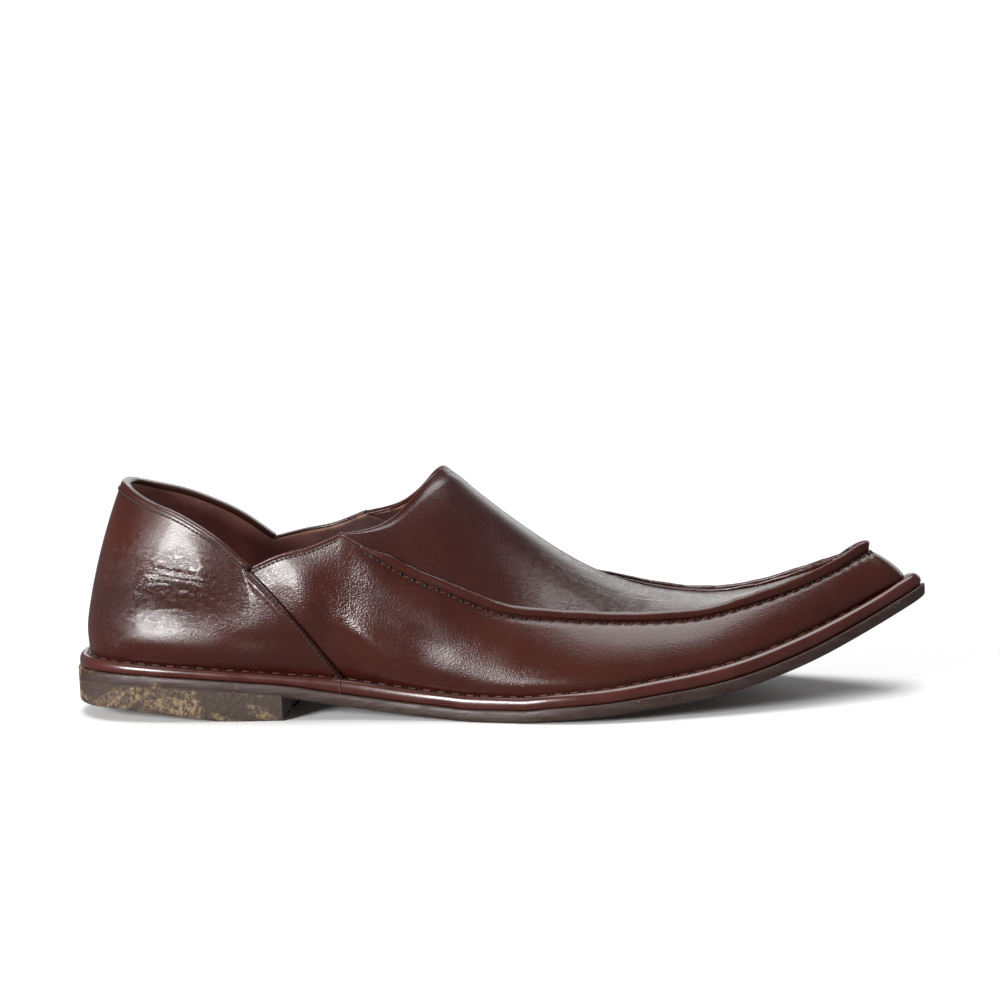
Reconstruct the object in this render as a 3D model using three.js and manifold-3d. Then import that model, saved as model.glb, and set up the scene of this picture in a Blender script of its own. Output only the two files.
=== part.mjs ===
// A leather mule with a long pointed toe: one right shoe, standing empty on its sole.
// Millimetres. +X points to the toe, +Z up, and -Y is the outer side of a right foot.
// The shoe is worked out with X = 0 at the back of the sole and Z = 0 on the ground.
// At the end it is moved so that the middle of its box stands over the origin.
import * as THREE from 'three';
import { mergeVertices } from 'three/addons/utils/BufferGeometryUtils.js';
import Module from 'manifold-3d';

const wasm = await Module();
wasm.setup();

// Driving dimensions of the sole
const length = 321;
const ballWidth = 98.5;
const heelWidth = 69;
const heelHeight = 8.4;
const heelLength = 85;
const breastHollow = 2.5;
const heelWear = 4.8;
const heelFlat = 16;
const toeSpring = 35;
const outsoleThickness = 4.6;
const edgeBevel = 0.8;

// Driving dimensions of the rand: its rolled edge, and how far it sets the upper in
const beadHeight = 4.6;
const beadInset = 0.8;
const wallInset = 4.9;
const toeSetBack = 4.1;

// Driving dimensions of the upper. Its heights are taken from where its wall stands.
const quarterHeight = 64.5;
const instepHeight = 78;
const toeHeight = 21;
const wall = 2;
const quarterThickness = 1.2;
const seamWidth = 2.6;
const seamHeight = 2.6;
const seamDepth = 1.2;
const insoleThickness = 2.4;
const insoleMargin = 1.4;
const gap = 0.3;

// Sole line. at is a share of the length. heel, wear and spring are shares of heelHeight,
// heelWear and toeSpring, which add up to the height of the outsole's underside.
const soleLine = [
  { at: 0.000, heel: 1.00, wear: 0.92, spring: 0.000 },
  { at: 0.030, heel: 1.00, wear: 1.08, spring: 0.000 },
  { at: 0.080, heel: 1.00, wear: 1.00, spring: 0.000 },
  { at: 0.140, heel: 1.00, wear: 0.76, spring: 0.000 },
  { at: 0.215, heel: 1.00, wear: 0.36, spring: 0.000 },
  { at: 0.265, heel: 1.00, wear: 0.07, spring: 0.000 },
  { at: 0.321, heel: 0.70, wear: 0.00, spring: 0.000 },
  { at: 0.358, heel: 0.49, wear: 0.00, spring: 0.000 },
  { at: 0.405, heel: 0.27, wear: 0.00, spring: 0.000 },
  { at: 0.452, heel: 0.10, wear: 0.00, spring: 0.000 },
  { at: 0.492, heel: 0.00, wear: 0.00, spring: 0.000 },
  { at: 0.548, heel: 0.00, wear: 0.00, spring: 0.000 },
  { at: 0.586, heel: 0.00, wear: 0.00, spring: 0.030 },
  { at: 0.665, heel: 0.00, wear: 0.00, spring: 0.083 },
  { at: 0.710, heel: 0.00, wear: 0.00, spring: 0.132 },
  { at: 0.754, heel: 0.00, wear: 0.00, spring: 0.179 },
  { at: 0.799, heel: 0.00, wear: 0.00, spring: 0.254 },
  { at: 0.843, heel: 0.00, wear: 0.00, spring: 0.365 },
  { at: 0.887, heel: 0.00, wear: 0.00, spring: 0.508 },
  { at: 0.930, heel: 0.00, wear: 0.00, spring: 0.682 },
  { at: 0.973, heel: 0.00, wear: 0.00, spring: 0.872 },
  { at: 1.000, heel: 0.00, wear: 0.00, spring: 1.000 },
];

// Sole outline. at is a share of the length. outer and inner are the distances from the
// middle line to the two sides, as shares of the size that the row follows.
const soleOutline = [
  { at: 0.000, outer: 0.000, inner: 0.000, of: heelWidth },
  { at: 0.009, outer: 0.205, inner: 0.200, of: heelWidth },
  { at: 0.031, outer: 0.345, inner: 0.335, of: heelWidth },
  { at: 0.062, outer: 0.428, inner: 0.420, of: heelWidth },
  { at: 0.109, outer: 0.478, inner: 0.471, of: heelWidth },
  { at: 0.171, outer: 0.500, inner: 0.493, of: heelWidth },
  { at: 0.265, outer: 0.503, inner: 0.490, of: heelWidth },
  { at: 0.358, outer: 0.360, inner: 0.318, of: ballWidth },
  { at: 0.436, outer: 0.396, inner: 0.312, of: ballWidth },
  { at: 0.514, outer: 0.457, inner: 0.358, of: ballWidth },
  { at: 0.585, outer: 0.500, inner: 0.434, of: ballWidth },
  { at: 0.620, outer: 0.508, inner: 0.470, of: ballWidth },
  { at: 0.655, outer: 0.500, inner: 0.490, of: ballWidth },
  { at: 0.701, outer: 0.472, inner: 0.479, of: ballWidth },
  { at: 0.751, outer: 0.428, inner: 0.439, of: ballWidth },
  { at: 0.804, outer: 0.370, inner: 0.380, of: ballWidth },
  { at: 0.857, outer: 0.294, inner: 0.315, of: ballWidth },
  { at: 0.903, outer: 0.213, inner: 0.252, of: ballWidth },
  { at: 0.944, outer: 0.128, inner: 0.188, of: ballWidth },
  { at: 0.972, outer: 0.063, inner: 0.138, of: ballWidth },
  { at: 0.991, outer: 0.016, inner: 0.098, of: ballWidth },
  { at: 1.000, outer: -0.041, inner: 0.041, of: ballWidth },
];

// Height of the rolled edge along the shoe. high is a share of beadHeight.
const beadLine = [
  { at: 0.00, high: 1.05 },
  { at: 0.06, high: 0.85 },
  { at: 0.15, high: 0.76 },
  { at: 0.26, high: 0.76 },
  { at: 0.33, high: 1.08 },
  { at: 0.42, high: 1.00 },
  { at: 0.60, high: 0.96 },
  { at: 0.75, high: 1.12 },
  { at: 0.88, high: 1.28 },
  { at: 1.00, high: 1.12 },
];

// Section of the rolled edge, from the outsole up and over to the upper. in is the share
// of the way from the edge to the upper, up the share of the height there.
const beadSection = [
  { in: 0.22, up: 0.00 },
  { in: 0.02, up: 0.22 },
  { in: 0.00, up: 0.50 },
  { in: 0.14, up: 0.82 },
  { in: 0.46, up: 1.00 },
  { in: 0.80, up: 0.90 },
  { in: 1.00, up: 0.72 },
];
const seatShare = 0.72;

// Top edge of the wall. foot and at are shares of the length: where the wall stands, and
// where its top is. out and up are shares of the sizes named by across and of. The rows run
// from the middle of the back down to the notch at the side, up to the start of the raised
// seam, and along that seam to the tip.
const topOuter = [
  { foot: 0.0000, at: 0.0690, out: 0.000, across: heelWidth, up: 0.990, of: quarterHeight },
  { foot: 0.0120, at: 0.0740, out: 0.108, across: heelWidth, up: 0.980, of: quarterHeight },
  { foot: 0.0400, at: 0.0935, out: 0.206, across: heelWidth, up: 0.944, of: quarterHeight },
  { foot: 0.0700, at: 0.1140, out: 0.270, across: heelWidth, up: 0.912, of: quarterHeight },
  { foot: 0.1200, at: 0.1500, out: 0.344, across: heelWidth, up: 0.862, of: quarterHeight },
  { foot: 0.1750, at: 0.1910, out: 0.400, across: heelWidth, up: 0.758, of: quarterHeight },
  { foot: 0.2325, at: 0.2325, out: 0.436, across: heelWidth, up: 0.603, of: quarterHeight, corner: true },
  { foot: 0.2700, at: 0.2690, out: 0.453, across: heelWidth, up: 0.575, of: instepHeight },
  { foot: 0.3080, at: 0.3070, out: 0.320, across: ballWidth, up: 0.630, of: instepHeight },
  { foot: 0.3460, at: 0.3460, out: 0.317, across: ballWidth, up: 0.712, of: instepHeight, corner: true },
  { foot: 0.3850, at: 0.3850, out: 0.326, across: ballWidth, up: 0.638, of: instepHeight },
  { foot: 0.4240, at: 0.4220, out: 0.326, across: ballWidth, up: 0.564, of: instepHeight },
  { foot: 0.4600, at: 0.4570, out: 0.326, across: ballWidth, up: 0.514, of: instepHeight },
  { foot: 0.5250, at: 0.5250, out: 0.320, across: ballWidth, up: 0.403, of: instepHeight },
  { foot: 0.5930, at: 0.5930, out: 0.300, across: ballWidth, up: 0.343, of: instepHeight },
  { foot: 0.6390, at: 0.6390, out: 0.285, across: ballWidth, up: 1.157, of: toeHeight },
  { foot: 0.6950, at: 0.6950, out: 0.260, across: ballWidth, up: 1.020, of: toeHeight },
  { foot: 0.7510, at: 0.7510, out: 0.224, across: ballWidth, up: 0.926, of: toeHeight },
  { foot: 0.7980, at: 0.7950, out: 0.189, across: ballWidth, up: 0.925, of: toeHeight },
  { foot: 0.8600, at: 0.8550, out: 0.128, across: ballWidth, up: 0.900, of: toeHeight },
  { foot: 0.9080, at: 0.8970, out: 0.070, across: ballWidth, up: 0.900, of: toeHeight },
  { foot: 0.9600, at: 0.9240, out: 0.018, across: ballWidth, up: 0.930, of: toeHeight },
  { foot: 1.0000, at: 0.9340, out: -0.026, across: ballWidth, up: 0.930, of: toeHeight },
];
const topInner = [
  { foot: 0.0000, at: 0.0690, out: 0.000, across: heelWidth, up: 0.990, of: quarterHeight },
  { foot: 0.0120, at: 0.0740, out: 0.112, across: heelWidth, up: 0.980, of: quarterHeight },
  { foot: 0.0400, at: 0.0930, out: 0.215, across: heelWidth, up: 0.940, of: quarterHeight },
  { foot: 0.0700, at: 0.1190, out: 0.290, across: heelWidth, up: 0.900, of: quarterHeight },
  { foot: 0.1200, at: 0.1520, out: 0.358, across: heelWidth, up: 0.832, of: quarterHeight },
  { foot: 0.1750, at: 0.1850, out: 0.402, across: heelWidth, up: 0.748, of: quarterHeight },
  { foot: 0.2325, at: 0.2200, out: 0.440, across: heelWidth, up: 0.622, of: quarterHeight, corner: true },
  { foot: 0.2700, at: 0.2590, out: 0.460, across: heelWidth, up: 0.560, of: instepHeight },
  { foot: 0.3080, at: 0.2970, out: 0.315, across: ballWidth, up: 0.605, of: instepHeight },
  { foot: 0.3460, at: 0.3380, out: 0.284, across: ballWidth, up: 0.688, of: instepHeight, corner: true },
  { foot: 0.3850, at: 0.3800, out: 0.300, across: ballWidth, up: 0.640, of: instepHeight },
  { foot: 0.4240, at: 0.4210, out: 0.308, across: ballWidth, up: 0.590, of: instepHeight },
  { foot: 0.4600, at: 0.4570, out: 0.312, across: ballWidth, up: 0.548, of: instepHeight },
  { foot: 0.5250, at: 0.5250, out: 0.315, across: ballWidth, up: 0.468, of: instepHeight },
  { foot: 0.5930, at: 0.5930, out: 0.306, across: ballWidth, up: 0.405, of: instepHeight },
  { foot: 0.6390, at: 0.6390, out: 0.292, across: ballWidth, up: 1.310, of: toeHeight },
  { foot: 0.6950, at: 0.6950, out: 0.267, across: ballWidth, up: 1.070, of: toeHeight },
  { foot: 0.7510, at: 0.7510, out: 0.236, across: ballWidth, up: 0.930, of: toeHeight },
  { foot: 0.7980, at: 0.7950, out: 0.204, across: ballWidth, up: 0.893, of: toeHeight },
  { foot: 0.8600, at: 0.8550, out: 0.150, across: ballWidth, up: 0.890, of: toeHeight },
  { foot: 0.9080, at: 0.8970, out: 0.098, across: ballWidth, up: 0.885, of: toeHeight },
  { foot: 0.9600, at: 0.9240, out: 0.062, across: ballWidth, up: 0.930, of: toeHeight },
  { foot: 1.0000, at: 0.9340, out: 0.026, across: ballWidth, up: 0.930, of: toeHeight },
];

// Fullness of the wall: how far it swells past a straight line from foot to top edge.
// at is a share of the length, outer and inner are shares of heelWidth.
const fullness = [
  { at: 0.00, outer: 0.048, inner: 0.048 },
  { at: 0.08, outer: 0.060, inner: 0.060 },
  { at: 0.22, outer: 0.070, inner: 0.058 },
  { at: 0.38, outer: 0.085, inner: 0.065 },
  { at: 0.50, outer: 0.070, inner: 0.065 },
  { at: 0.70, outer: 0.052, inner: 0.055 },
  { at: 0.90, outer: 0.046, inner: 0.046 },
  { at: 1.00, outer: 0.072, inner: 0.072 },
];
const swellLow = 0.72;
const swellRound = 0.85;

// Middle line of the apron. at is a share of the length, up a share of the size named.
const apronCrown = [
  { at: 0.338, up: 0.945, of: instepHeight },
  { at: 0.400, up: 0.998, of: instepHeight },
  { at: 0.436, up: 1.034, of: instepHeight },
  { at: 0.456, up: 1.000, of: instepHeight },
  { at: 0.479, up: 0.920, of: instepHeight },
  { at: 0.501, up: 0.842, of: instepHeight },
  { at: 0.524, up: 0.762, of: instepHeight },
  { at: 0.547, up: 0.687, of: instepHeight },
  { at: 0.569, up: 0.610, of: instepHeight },
  { at: 0.592, up: 0.533, of: instepHeight },
  { at: 0.620, up: 0.456, of: instepHeight },
  { at: 0.660, up: 1.370, of: toeHeight },
  { at: 0.700, up: 1.160, of: toeHeight },
  { at: 0.751, up: 1.000, of: toeHeight },
  { at: 0.800, up: 0.960, of: toeHeight },
  { at: 0.855, up: 0.940, of: toeHeight },
  { at: 0.900, up: 0.925, of: toeHeight },
  { at: 0.934, up: 0.930, of: toeHeight },
];

// Edge of the throat, from the start of the raised seam (share 0) up to its middle
// (share 1). along is the share of the way forward, out the share of the width left.
const throatPeak = 0.4555;
const throatEdge = [
  { share: 0.0, along: 0.000, out: 1.000 },
  { share: 0.2, along: 0.310, out: 0.870 },
  { share: 0.4, along: 0.520, out: 0.735 },
  { share: 0.6, along: 0.735, out: 0.535 },
  { share: 0.8, along: 0.900, out: 0.285 },
  { share: 1.0, along: 1.000, out: 0.000 },
];

// Slanting front edge of the back panel. up is a share of the wall's height, at the share
// of the length at which that strip of wall stands.
const quarterEdge = [
  { up: 0.00, at: 0.338 },
  { up: 0.30, at: 0.306 },
  { up: 0.65, at: 0.268 },
  { up: 1.00, at: 0.2325 },
];

// Where the wall stands under the notch, under the start of the seam and under the place
// where the seam begins to rise, and where the tuck under the back panel ends
const notchFoot = 0.2325;
const seamFoot = 0.346;
const ribFoot = 0.366;
const tuckEnd = 0.42;

const OUTER = -1;
const INNER = 1;
const backSteps = 11;
const notchSteps = 5;
const frontSteps = 26;
const wallRows = 6;
const apronRows = 7;
const quarterColumns = 34;
const weld = 1e-4;

const finish = (color, roughness) => new THREE.MeshStandardMaterial({ color, roughness, metalness: 0 });

// A smooth curve through the rows of a table. It runs level wherever two rows are level,
// and a row marked as a corner keeps its corner. levelEnds makes it leave its first row and
// reach its last one level, as a curve does that goes on round the shoe.
function through(rows, placeOf, valueOf, levelEnds = false) {
  const places = rows.map(placeOf);
  const values = rows.map(valueOf);
  const last = rows.length - 1;
  const spans = places.slice(1).map((place, i) => place - places[i]);
  const slopes = spans.map((span, i) => (values[i + 1] - values[i]) / span);
  const turn = (i) => {
    if (slopes[i - 1] === 0 || slopes[i] === 0) return 0;
    const share = spans[i] / (spans[i - 1] + spans[i]);
    return slopes[i - 1] * share + slopes[i] * (1 - share);
  };
  const isEnd = (i) => i === 0 || i === last;
  const slopeAt = (i, beside) => {
    if (isEnd(i)) return levelEnds ? 0 : slopes[beside];
    return rows[i].corner ? slopes[beside] : turn(i);
  };
  const leaving = rows.map((row, i) => slopeAt(i, Math.min(i, last - 1)));
  const arriving = rows.map((row, i) => slopeAt(i, Math.max(i - 1, 0)));
  return (place) => {
    const held = THREE.MathUtils.clamp(place, places[0], places[last]);
    const after = places.findIndex((value, i) => i > 0 && held <= value);
    const before = after - 1;
    const span = places[after] - places[before];
    const t = (held - places[before]) / span;
    const t2 = t * t;
    const t3 = t2 * t;
    return (2 * t3 - 3 * t2 + 1) * values[before] + (t3 - 2 * t2 + t) * span * leaving[before]
      + (3 * t2 - 2 * t3) * values[after] + (t3 - t2) * span * arriving[after];
  };
}

// The way round the sole is counted as an angle, 0 at the back and pi at the tip, so that
// both ends come out round
const angleAt = (share) => Math.acos(1 - 2 * share);
const shareAt = (angle) => (1 - Math.cos(angle)) / 2;

// Heights along the shoe
const atOf = (row) => row.at * length;
const soleBottom = through(soleLine, atOf, (r) => r.heel * heelHeight + r.wear * heelWear + r.spring * toeSpring);
const beadRise = through(beadLine, atOf, (r) => r.high * beadHeight);
const soleTop = (x) => soleBottom(x) + outsoleThickness;
const randBottom = (x) => soleTop(x) + gap;
const seat = (x) => randBottom(x) + seatShare * beadRise(x);
const wallBottom = (x) => seat(x) + gap;

// Outline of the sole, and the same outline drawn in. tipInset is drawn in at the tip on
// top of inset, because the rolled edge is widest there.
const outlineSide = {
  [OUTER]: through(soleOutline, (r) => angleAt(r.at), (r) => -r.outer * r.of),
  [INNER]: through(soleOutline, (r) => angleAt(r.at), (r) => r.inner * r.of),
};
const endRound = 1.6;
function outlinePoint(side, angle, inset, tipInset = 0) {
  const reach = 1 - (1 - Math.sin(angle)) ** endRound;
  const x = inset + shareAt(angle) * (length - 2 * inset - tipInset);
  return new THREE.Vector2(x, outlineSide[side](angle) - side * inset * reach);
}

// The way round every piece that follows the outline: along the outer side from the back
// to the tip, then along the inner side to the back again
const spread = (from, to, count) => Array.from({ length: count }, (_, i) => from + (to - from) * i / count);
const notchAngle = angleAt(notchFoot);
const seamAngle = angleAt(seamFoot);
const sideAngles = [
  ...spread(0, notchAngle, backSteps),
  ...spread(notchAngle, seamAngle, notchSteps),
  ...spread(seamAngle, Math.PI, frontSteps),
  Math.PI,
];
const wayRound = [
  ...sideAngles.map((angle) => ({ side: OUTER, angle })),
  ...sideAngles.slice(1, -1).reverse().map((angle) => ({ side: INNER, angle })),
];

// Geometry from points and triples of corners, with points at one place made one and
// triangles left without a width dropped
function meshFrom(points, triangles) {
  const geometry = new THREE.BufferGeometry();
  const corners = triangles.flatMap((triangle) => triangle.flatMap((i) => points[i].toArray()));
  geometry.setAttribute('position', new THREE.Float32BufferAttribute(corners, 3));
  return welded(geometry);
}

function welded(geometry) {
  const bare = new THREE.BufferGeometry();
  bare.setAttribute('position', geometry.getAttribute('position'));
  bare.setIndex(geometry.index);
  const merged = mergeVertices(bare, weld);
  const corners = Array.from(merged.index.array);
  const kept = [];
  for (let i = 0; i < corners.length; i += 3) {
    const [a, b, c] = corners.slice(i, i + 3);
    if (a !== b && b !== c && c !== a) kept.push(a, b, c);
  }
  merged.setIndex(kept);
  return merged;
}

const square = (a, b, c, d) => [[a, b, c], [a, c, d]];

// A surface in rows of points, each row as long as the others. closed says that a row
// comes back to its start.
function surface(rows, closed) {
  const count = rows[0].length;
  const triangles = [];
  for (let r = 0; r + 1 < rows.length; r++) {
    for (let i = 0; i < (closed ? count : count - 1); i++) {
      const next = (i + 1) % count;
      triangles.push(...square(r * count + i, r * count + next, (r + 1) * count + next, (r + 1) * count + i));
    }
  }
  return { points: rows.flat(), triangles };
}

// A closed body from rings that run the way round, lowest first, with a strip from side
// to side across its underside and its top
function plate(rings) {
  const { points, triangles } = surface(rings, true);
  const count = wayRound.length;
  const top = (rings.length - 1) * count;
  for (let i = 0; i < count / 2; i++) {
    const across = (count - i) % count;
    const acrossNext = count - i - 1;
    triangles.push(...square(top + i, top + i + 1, top + acrossNext, top + across));
    triangles.push(...square(across, acrossNext, i + 1, i));
  }
  return meshFrom(points, triangles);
}

// A closed body from rings of points, with a fan over each end
function tube(rings) {
  const { points, triangles } = surface(rings, true);
  const count = rings[0].length;
  const last = points.length - count;
  for (let i = 1; i + 1 < count; i++) {
    triangles.push([0, i + 1, i], [last, last + i, last + i + 1]);
  }
  return meshFrom(points, triangles);
}

const ringAt = (inset, tipInset, heightOf) => wayRound.map(({ side, angle }) => {
  const place = outlinePoint(side, angle, inset, tipInset);
  return new THREE.Vector3(place.x, place.y, heightOf(place.x));
});

function toSolid(geometry) {
  const mesh = welded(geometry);
  return new wasm.Manifold(new wasm.Mesh({
    numProp: 3,
    vertProperties: mesh.getAttribute('position').array,
    triVerts: new Uint32Array(mesh.index.array),
  }));
}

function fromSolid(solid) {
  const { vertProperties, triVerts } = solid.getMesh();
  const geometry = new THREE.BufferGeometry();
  geometry.setAttribute('position', new THREE.Float32BufferAttribute(vertProperties, 3));
  geometry.setIndex(Array.from(triVerts));
  return geometry;
}

// Outsole, with its bottom edge broken
function outsole() {
  return plate([
    ringAt(edgeBevel, 0, soleBottom),
    ringAt(0, 0, (x) => soleBottom(x) + edgeBevel),
    ringAt(0, 0, (x) => soleTop(x) - edgeBevel / 2),
    ringAt(edgeBevel / 2, 0, soleTop),
  ]);
}

// Heel block: the sole's outline cut off at a hollow breast. It stands flat just behind
// the breast and is worn upwards towards the back.
const wornFrom = 0.75;
function heel() {
  const flatStart = heelLength - heelFlat;
  const wornEnd = flatStart * (1 - wornFrom);
  const worn = (x) => heelWear * (1 - THREE.MathUtils.smoothstep(x, wornEnd, flatStart));
  const block = plate([
    ringAt(edgeBevel, 0, worn),
    ringAt(0, 0, (x) => worn(x) + edgeBevel),
    ringAt(0, 0, (x) => soleBottom(x) - gap),
  ]);
  const aside = ballWidth;
  const breast = new THREE.Shape();
  breast.moveTo(heelLength, -aside);
  breast.lineTo(heelLength, -heelWidth / 2);
  breast.quadraticCurveTo(heelLength - 2 * breastHollow, 0, heelLength, heelWidth / 2);
  breast.lineTo(heelLength, aside);
  breast.lineTo(2 * length, aside);
  breast.lineTo(2 * length, -aside);
  breast.closePath();
  const depth = 2 * (toeSpring + heelHeight);
  const cutter = new THREE.ExtrudeGeometry(breast, { depth, bevelEnabled: false, curveSegments: 10 });
  cutter.translate(0, 0, -depth / 2);
  return fromSolid(toSolid(block).subtract(toSolid(cutter)));
}

// Rand: the platform on the outsole, with its rolled edge
function rand() {
  const across = wallInset - gap - beadInset;
  return plate(beadSection.map((row) => ringAt(
    beadInset + row.in * across,
    row.in * toeSetBack,
    (x) => randBottom(x) + row.up * beadRise(x),
  )));
}

// Insole, inside the upper
function insole() {
  const inset = wallInset + quarterThickness + gap + wall + insoleMargin;
  const edge = insoleThickness / 3;
  return plate([
    ringAt(inset, toeSetBack + insoleMargin, wallBottom),
    ringAt(inset, toeSetBack + insoleMargin, (x) => wallBottom(x) + insoleThickness - edge),
    ringAt(inset + edge, toeSetBack + insoleMargin, (x) => wallBottom(x) + insoleThickness),
  ]);
}

// Foot of the upper's wall. It is tucked in under the back panel.
function footPoint(side, angle) {
  const share = shareAt(angle);
  const edge = quarterEdge[0].at;
  const tuck = (quarterThickness + gap) * (1 - THREE.MathUtils.smoothstep(share, edge, tuckEnd));
  const place = outlinePoint(side, angle, wallInset + tuck, toeSetBack);
  return new THREE.Vector3(place.x, place.y, wallBottom(place.x));
}

// Top edge of the wall
const topRows = { [OUTER]: topOuter, [INNER]: topInner };
const topCurves = (side) => {
  const rows = topRows[side];
  const place = (r) => angleAt(r.foot);
  return {
    x: through(rows, place, atOf, true),
    y: through(rows, place, (r) => side * r.out * r.across),
    z: through(rows, place, (r) => wallBottom(atOf(r)) + r.up * r.of, true),
  };
};
const topOf = { [OUTER]: topCurves(OUTER), [INNER]: topCurves(INNER) };
const topPoint = (side, angle) => new THREE.Vector3(topOf[side].x(angle), topOf[side].y(angle), topOf[side].z(angle));

// The wall itself: a place at an angle round the shoe and at a share of its own height
const swellOf = {
  [OUTER]: through(fullness, atOf, (r) => r.outer * heelWidth),
  [INNER]: through(fullness, atOf, (r) => r.inner * heelWidth),
};
function awayFrom(side, angle) {
  const step = 0.01;
  const before = footPoint(side, Math.max(0, angle - step));
  const after = footPoint(side, Math.min(Math.PI, angle + step));
  if (angle < step) return new THREE.Vector3(-1, 0, 0);
  if (angle > Math.PI - step) return new THREE.Vector3(1, 0, 0);
  return new THREE.Vector3(-side * (after.y - before.y), side * (after.x - before.x), 0).normalize();
}
function wallPoint(side, angle, up) {
  const foot = footPoint(side, angle);
  const swell = swellOf[side](foot.x) * Math.sin(Math.PI * up ** swellLow) ** swellRound;
  return foot.lerp(topPoint(side, angle), up).addScaledVector(awayFrom(side, angle), swell);
}

// Height of the apron over any place between the two sides of the raised seam
const seamRows = (side) => topRows[side].filter((row) => row.foot >= seamFoot);
const seamSide = (side) => ({
  y: through(seamRows(side), atOf, (r) => side * r.out * r.across),
  z: through(seamRows(side), atOf, (r) => wallBottom(atOf(r)) + r.up * r.of),
});
const seamOf = { [OUTER]: seamSide(OUTER), [INNER]: seamSide(INNER) };
const crown = through(apronCrown, atOf, (r) => wallBottom(atOf(r)) + r.up * r.of);
const narrowest = 1;
function apronHeight(x, y) {
  const outer = seamOf[OUTER].y(x);
  const inner = seamOf[INNER].y(x);
  const across = (y - (inner + outer) / 2) / Math.max((inner - outer) / 2, narrowest);
  const share = THREE.MathUtils.clamp(across, -1, 1);
  const between = THREE.MathUtils.lerp(seamOf[OUTER].z(x), seamOf[INNER].z(x), (share + 1) / 2);
  const middle = (seamOf[OUTER].z(x) + seamOf[INNER].z(x)) / 2;
  return between + (crown(x) - middle) * (1 - share * share);
}

// Edge of the throat at a share of the way from the start of the seam to its middle
const throatAlong = through(throatEdge, (r) => r.share, (r) => r.along);
const throatOut = through(throatEdge, (r) => r.share, (r) => r.out);
function throatPoint(side, share) {
  const start = topPoint(side, seamAngle);
  const x = THREE.MathUtils.lerp(start.x, throatPeak * length, throatAlong(share));
  return new THREE.Vector2(x, start.y * throatOut(share));
}

// The apron, from the seam (share 0) to the edge of the throat (share 1)
function apronPoint(side, angle, share) {
  const seam = topPoint(side, angle);
  if (share === 0) return seam;
  const step = sideAngles.filter((value) => value >= seamAngle);
  const throat = throatPoint(side, step.indexOf(angle) / (step.length - 1));
  const x = THREE.MathUtils.lerp(seam.x, throat.x, share);
  const y = THREE.MathUtils.lerp(seam.y, throat.y, share);
  return new THREE.Vector3(x, y, apronHeight(x, y));
}

function joined(surfaces) {
  const points = [];
  const triangles = [];
  for (const part of surfaces) {
    const base = points.length;
    points.push(...part.points);
    triangles.push(...part.triangles.map((triangle) => triangle.map((i) => i + base)));
  }
  return { points, triangles };
}

// A closed body with real thickness, from near to far along the normals of a surface.
// Points that isFoot picks out keep their height, so that the wall stands flat.
function thicken(skin, near, far, isFoot) {
  const base = meshFrom(skin.points, skin.triangles);
  base.computeVertexNormals();
  const positions = base.getAttribute('position');
  const normals = base.getAttribute('normal');
  const count = positions.count;
  const points = [];
  for (const offset of [far, near]) {
    for (let i = 0; i < count; i++) {
      const point = new THREE.Vector3().fromBufferAttribute(positions, i);
      const normal = new THREE.Vector3().fromBufferAttribute(normals, i);
      if (isFoot(point)) normal.setZ(0).normalize();
      points.push(point.addScaledVector(normal, offset));
    }
  }
  const corners = Array.from(base.index.array);
  const triangles = [];
  const edges = new Map();
  for (let i = 0; i < corners.length; i += 3) {
    const [a, b, c] = corners.slice(i, i + 3);
    triangles.push([a, b, c], [a + count, c + count, b + count]);
    for (const [from, to] of [[a, b], [b, c], [c, a]]) edges.set(`${from} ${to}`, [from, to]);
  }
  for (const [from, to] of edges.values()) {
    if (!edges.has(`${to} ${from}`)) triangles.push(...square(to, from, from + count, to + count));
  }
  return meshFrom(points, triangles);
}

const shares = (count) => Array.from({ length: count + 1 }, (_, i) => i / count);
const standsAt = (point) => Math.abs(point.z - wallBottom(point.x)) < gap / 10;

// Skin of the upper: the wall all round and the apron inside the raised seam
function upperSkin() {
  const wallSkin = surface(shares(wallRows).map((up) => wayRound.map(({ side, angle }) => wallPoint(side, angle, up))), true);
  const alongSeam = wayRound.filter(({ angle }) => angle >= seamAngle);
  const apron = surface(shares(apronRows).map((share) => alongSeam.map(({ side, angle }) => apronPoint(side, angle, share))), false);
  return joined([wallSkin, apron]);
}

// Raised seam: a rounded strip that stands on the line where wall and apron meet, and
// grows out of it at both ends
const seamSection = [
  { out: -0.50, up: 0.00 },
  { out: -0.46, up: 0.70 },
  { out: -0.28, up: 1.00 },
  { out: 0.28, up: 1.00 },
  { out: 0.46, up: 0.70 },
  { out: 0.50, up: 0.00 },
];
const seamRiseSteps = 2;
function raisedSeam() {
  const way = wayRound.filter(({ angle }) => shareAt(angle) >= ribFoot);
  const line = way.map(({ side, angle }) => topPoint(side, angle));
  const rings = way.map(({ side, angle }, i) => {
    const ahead = line[Math.min(i + 1, line.length - 1)];
    const behind = line[Math.max(i - 1, 0)];
    const along = ahead.clone().sub(behind).normalize();
    const fromWall = line[i].clone().sub(wallPoint(side, angle, 1 - 1 / wallRows)).normalize();
    const fromApron = line[i].clone().sub(apronPoint(side, angle, 1 / apronRows)).normalize();
    const out = new THREE.Vector3().crossVectors(along, fromWall.add(fromApron)).normalize();
    const up = new THREE.Vector3().crossVectors(out, along).normalize();
    const steps = Math.min(i, line.length - 1 - i);
    const height = seamHeight * THREE.MathUtils.smoothstep(steps, 0, seamRiseSteps);
    return seamSection.map((row) => line[i].clone()
      .addScaledVector(out, row.out * seamWidth)
      .addScaledVector(up, row.up * (seamDepth + height) - seamDepth));
  });
  return tube(rings);
}

function upper() {
  const shell = thicken(upperSkin(), -wall, 0, standsAt);
  return fromSolid(toSolid(shell).add(toSolid(raisedSeam())));
}

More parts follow.
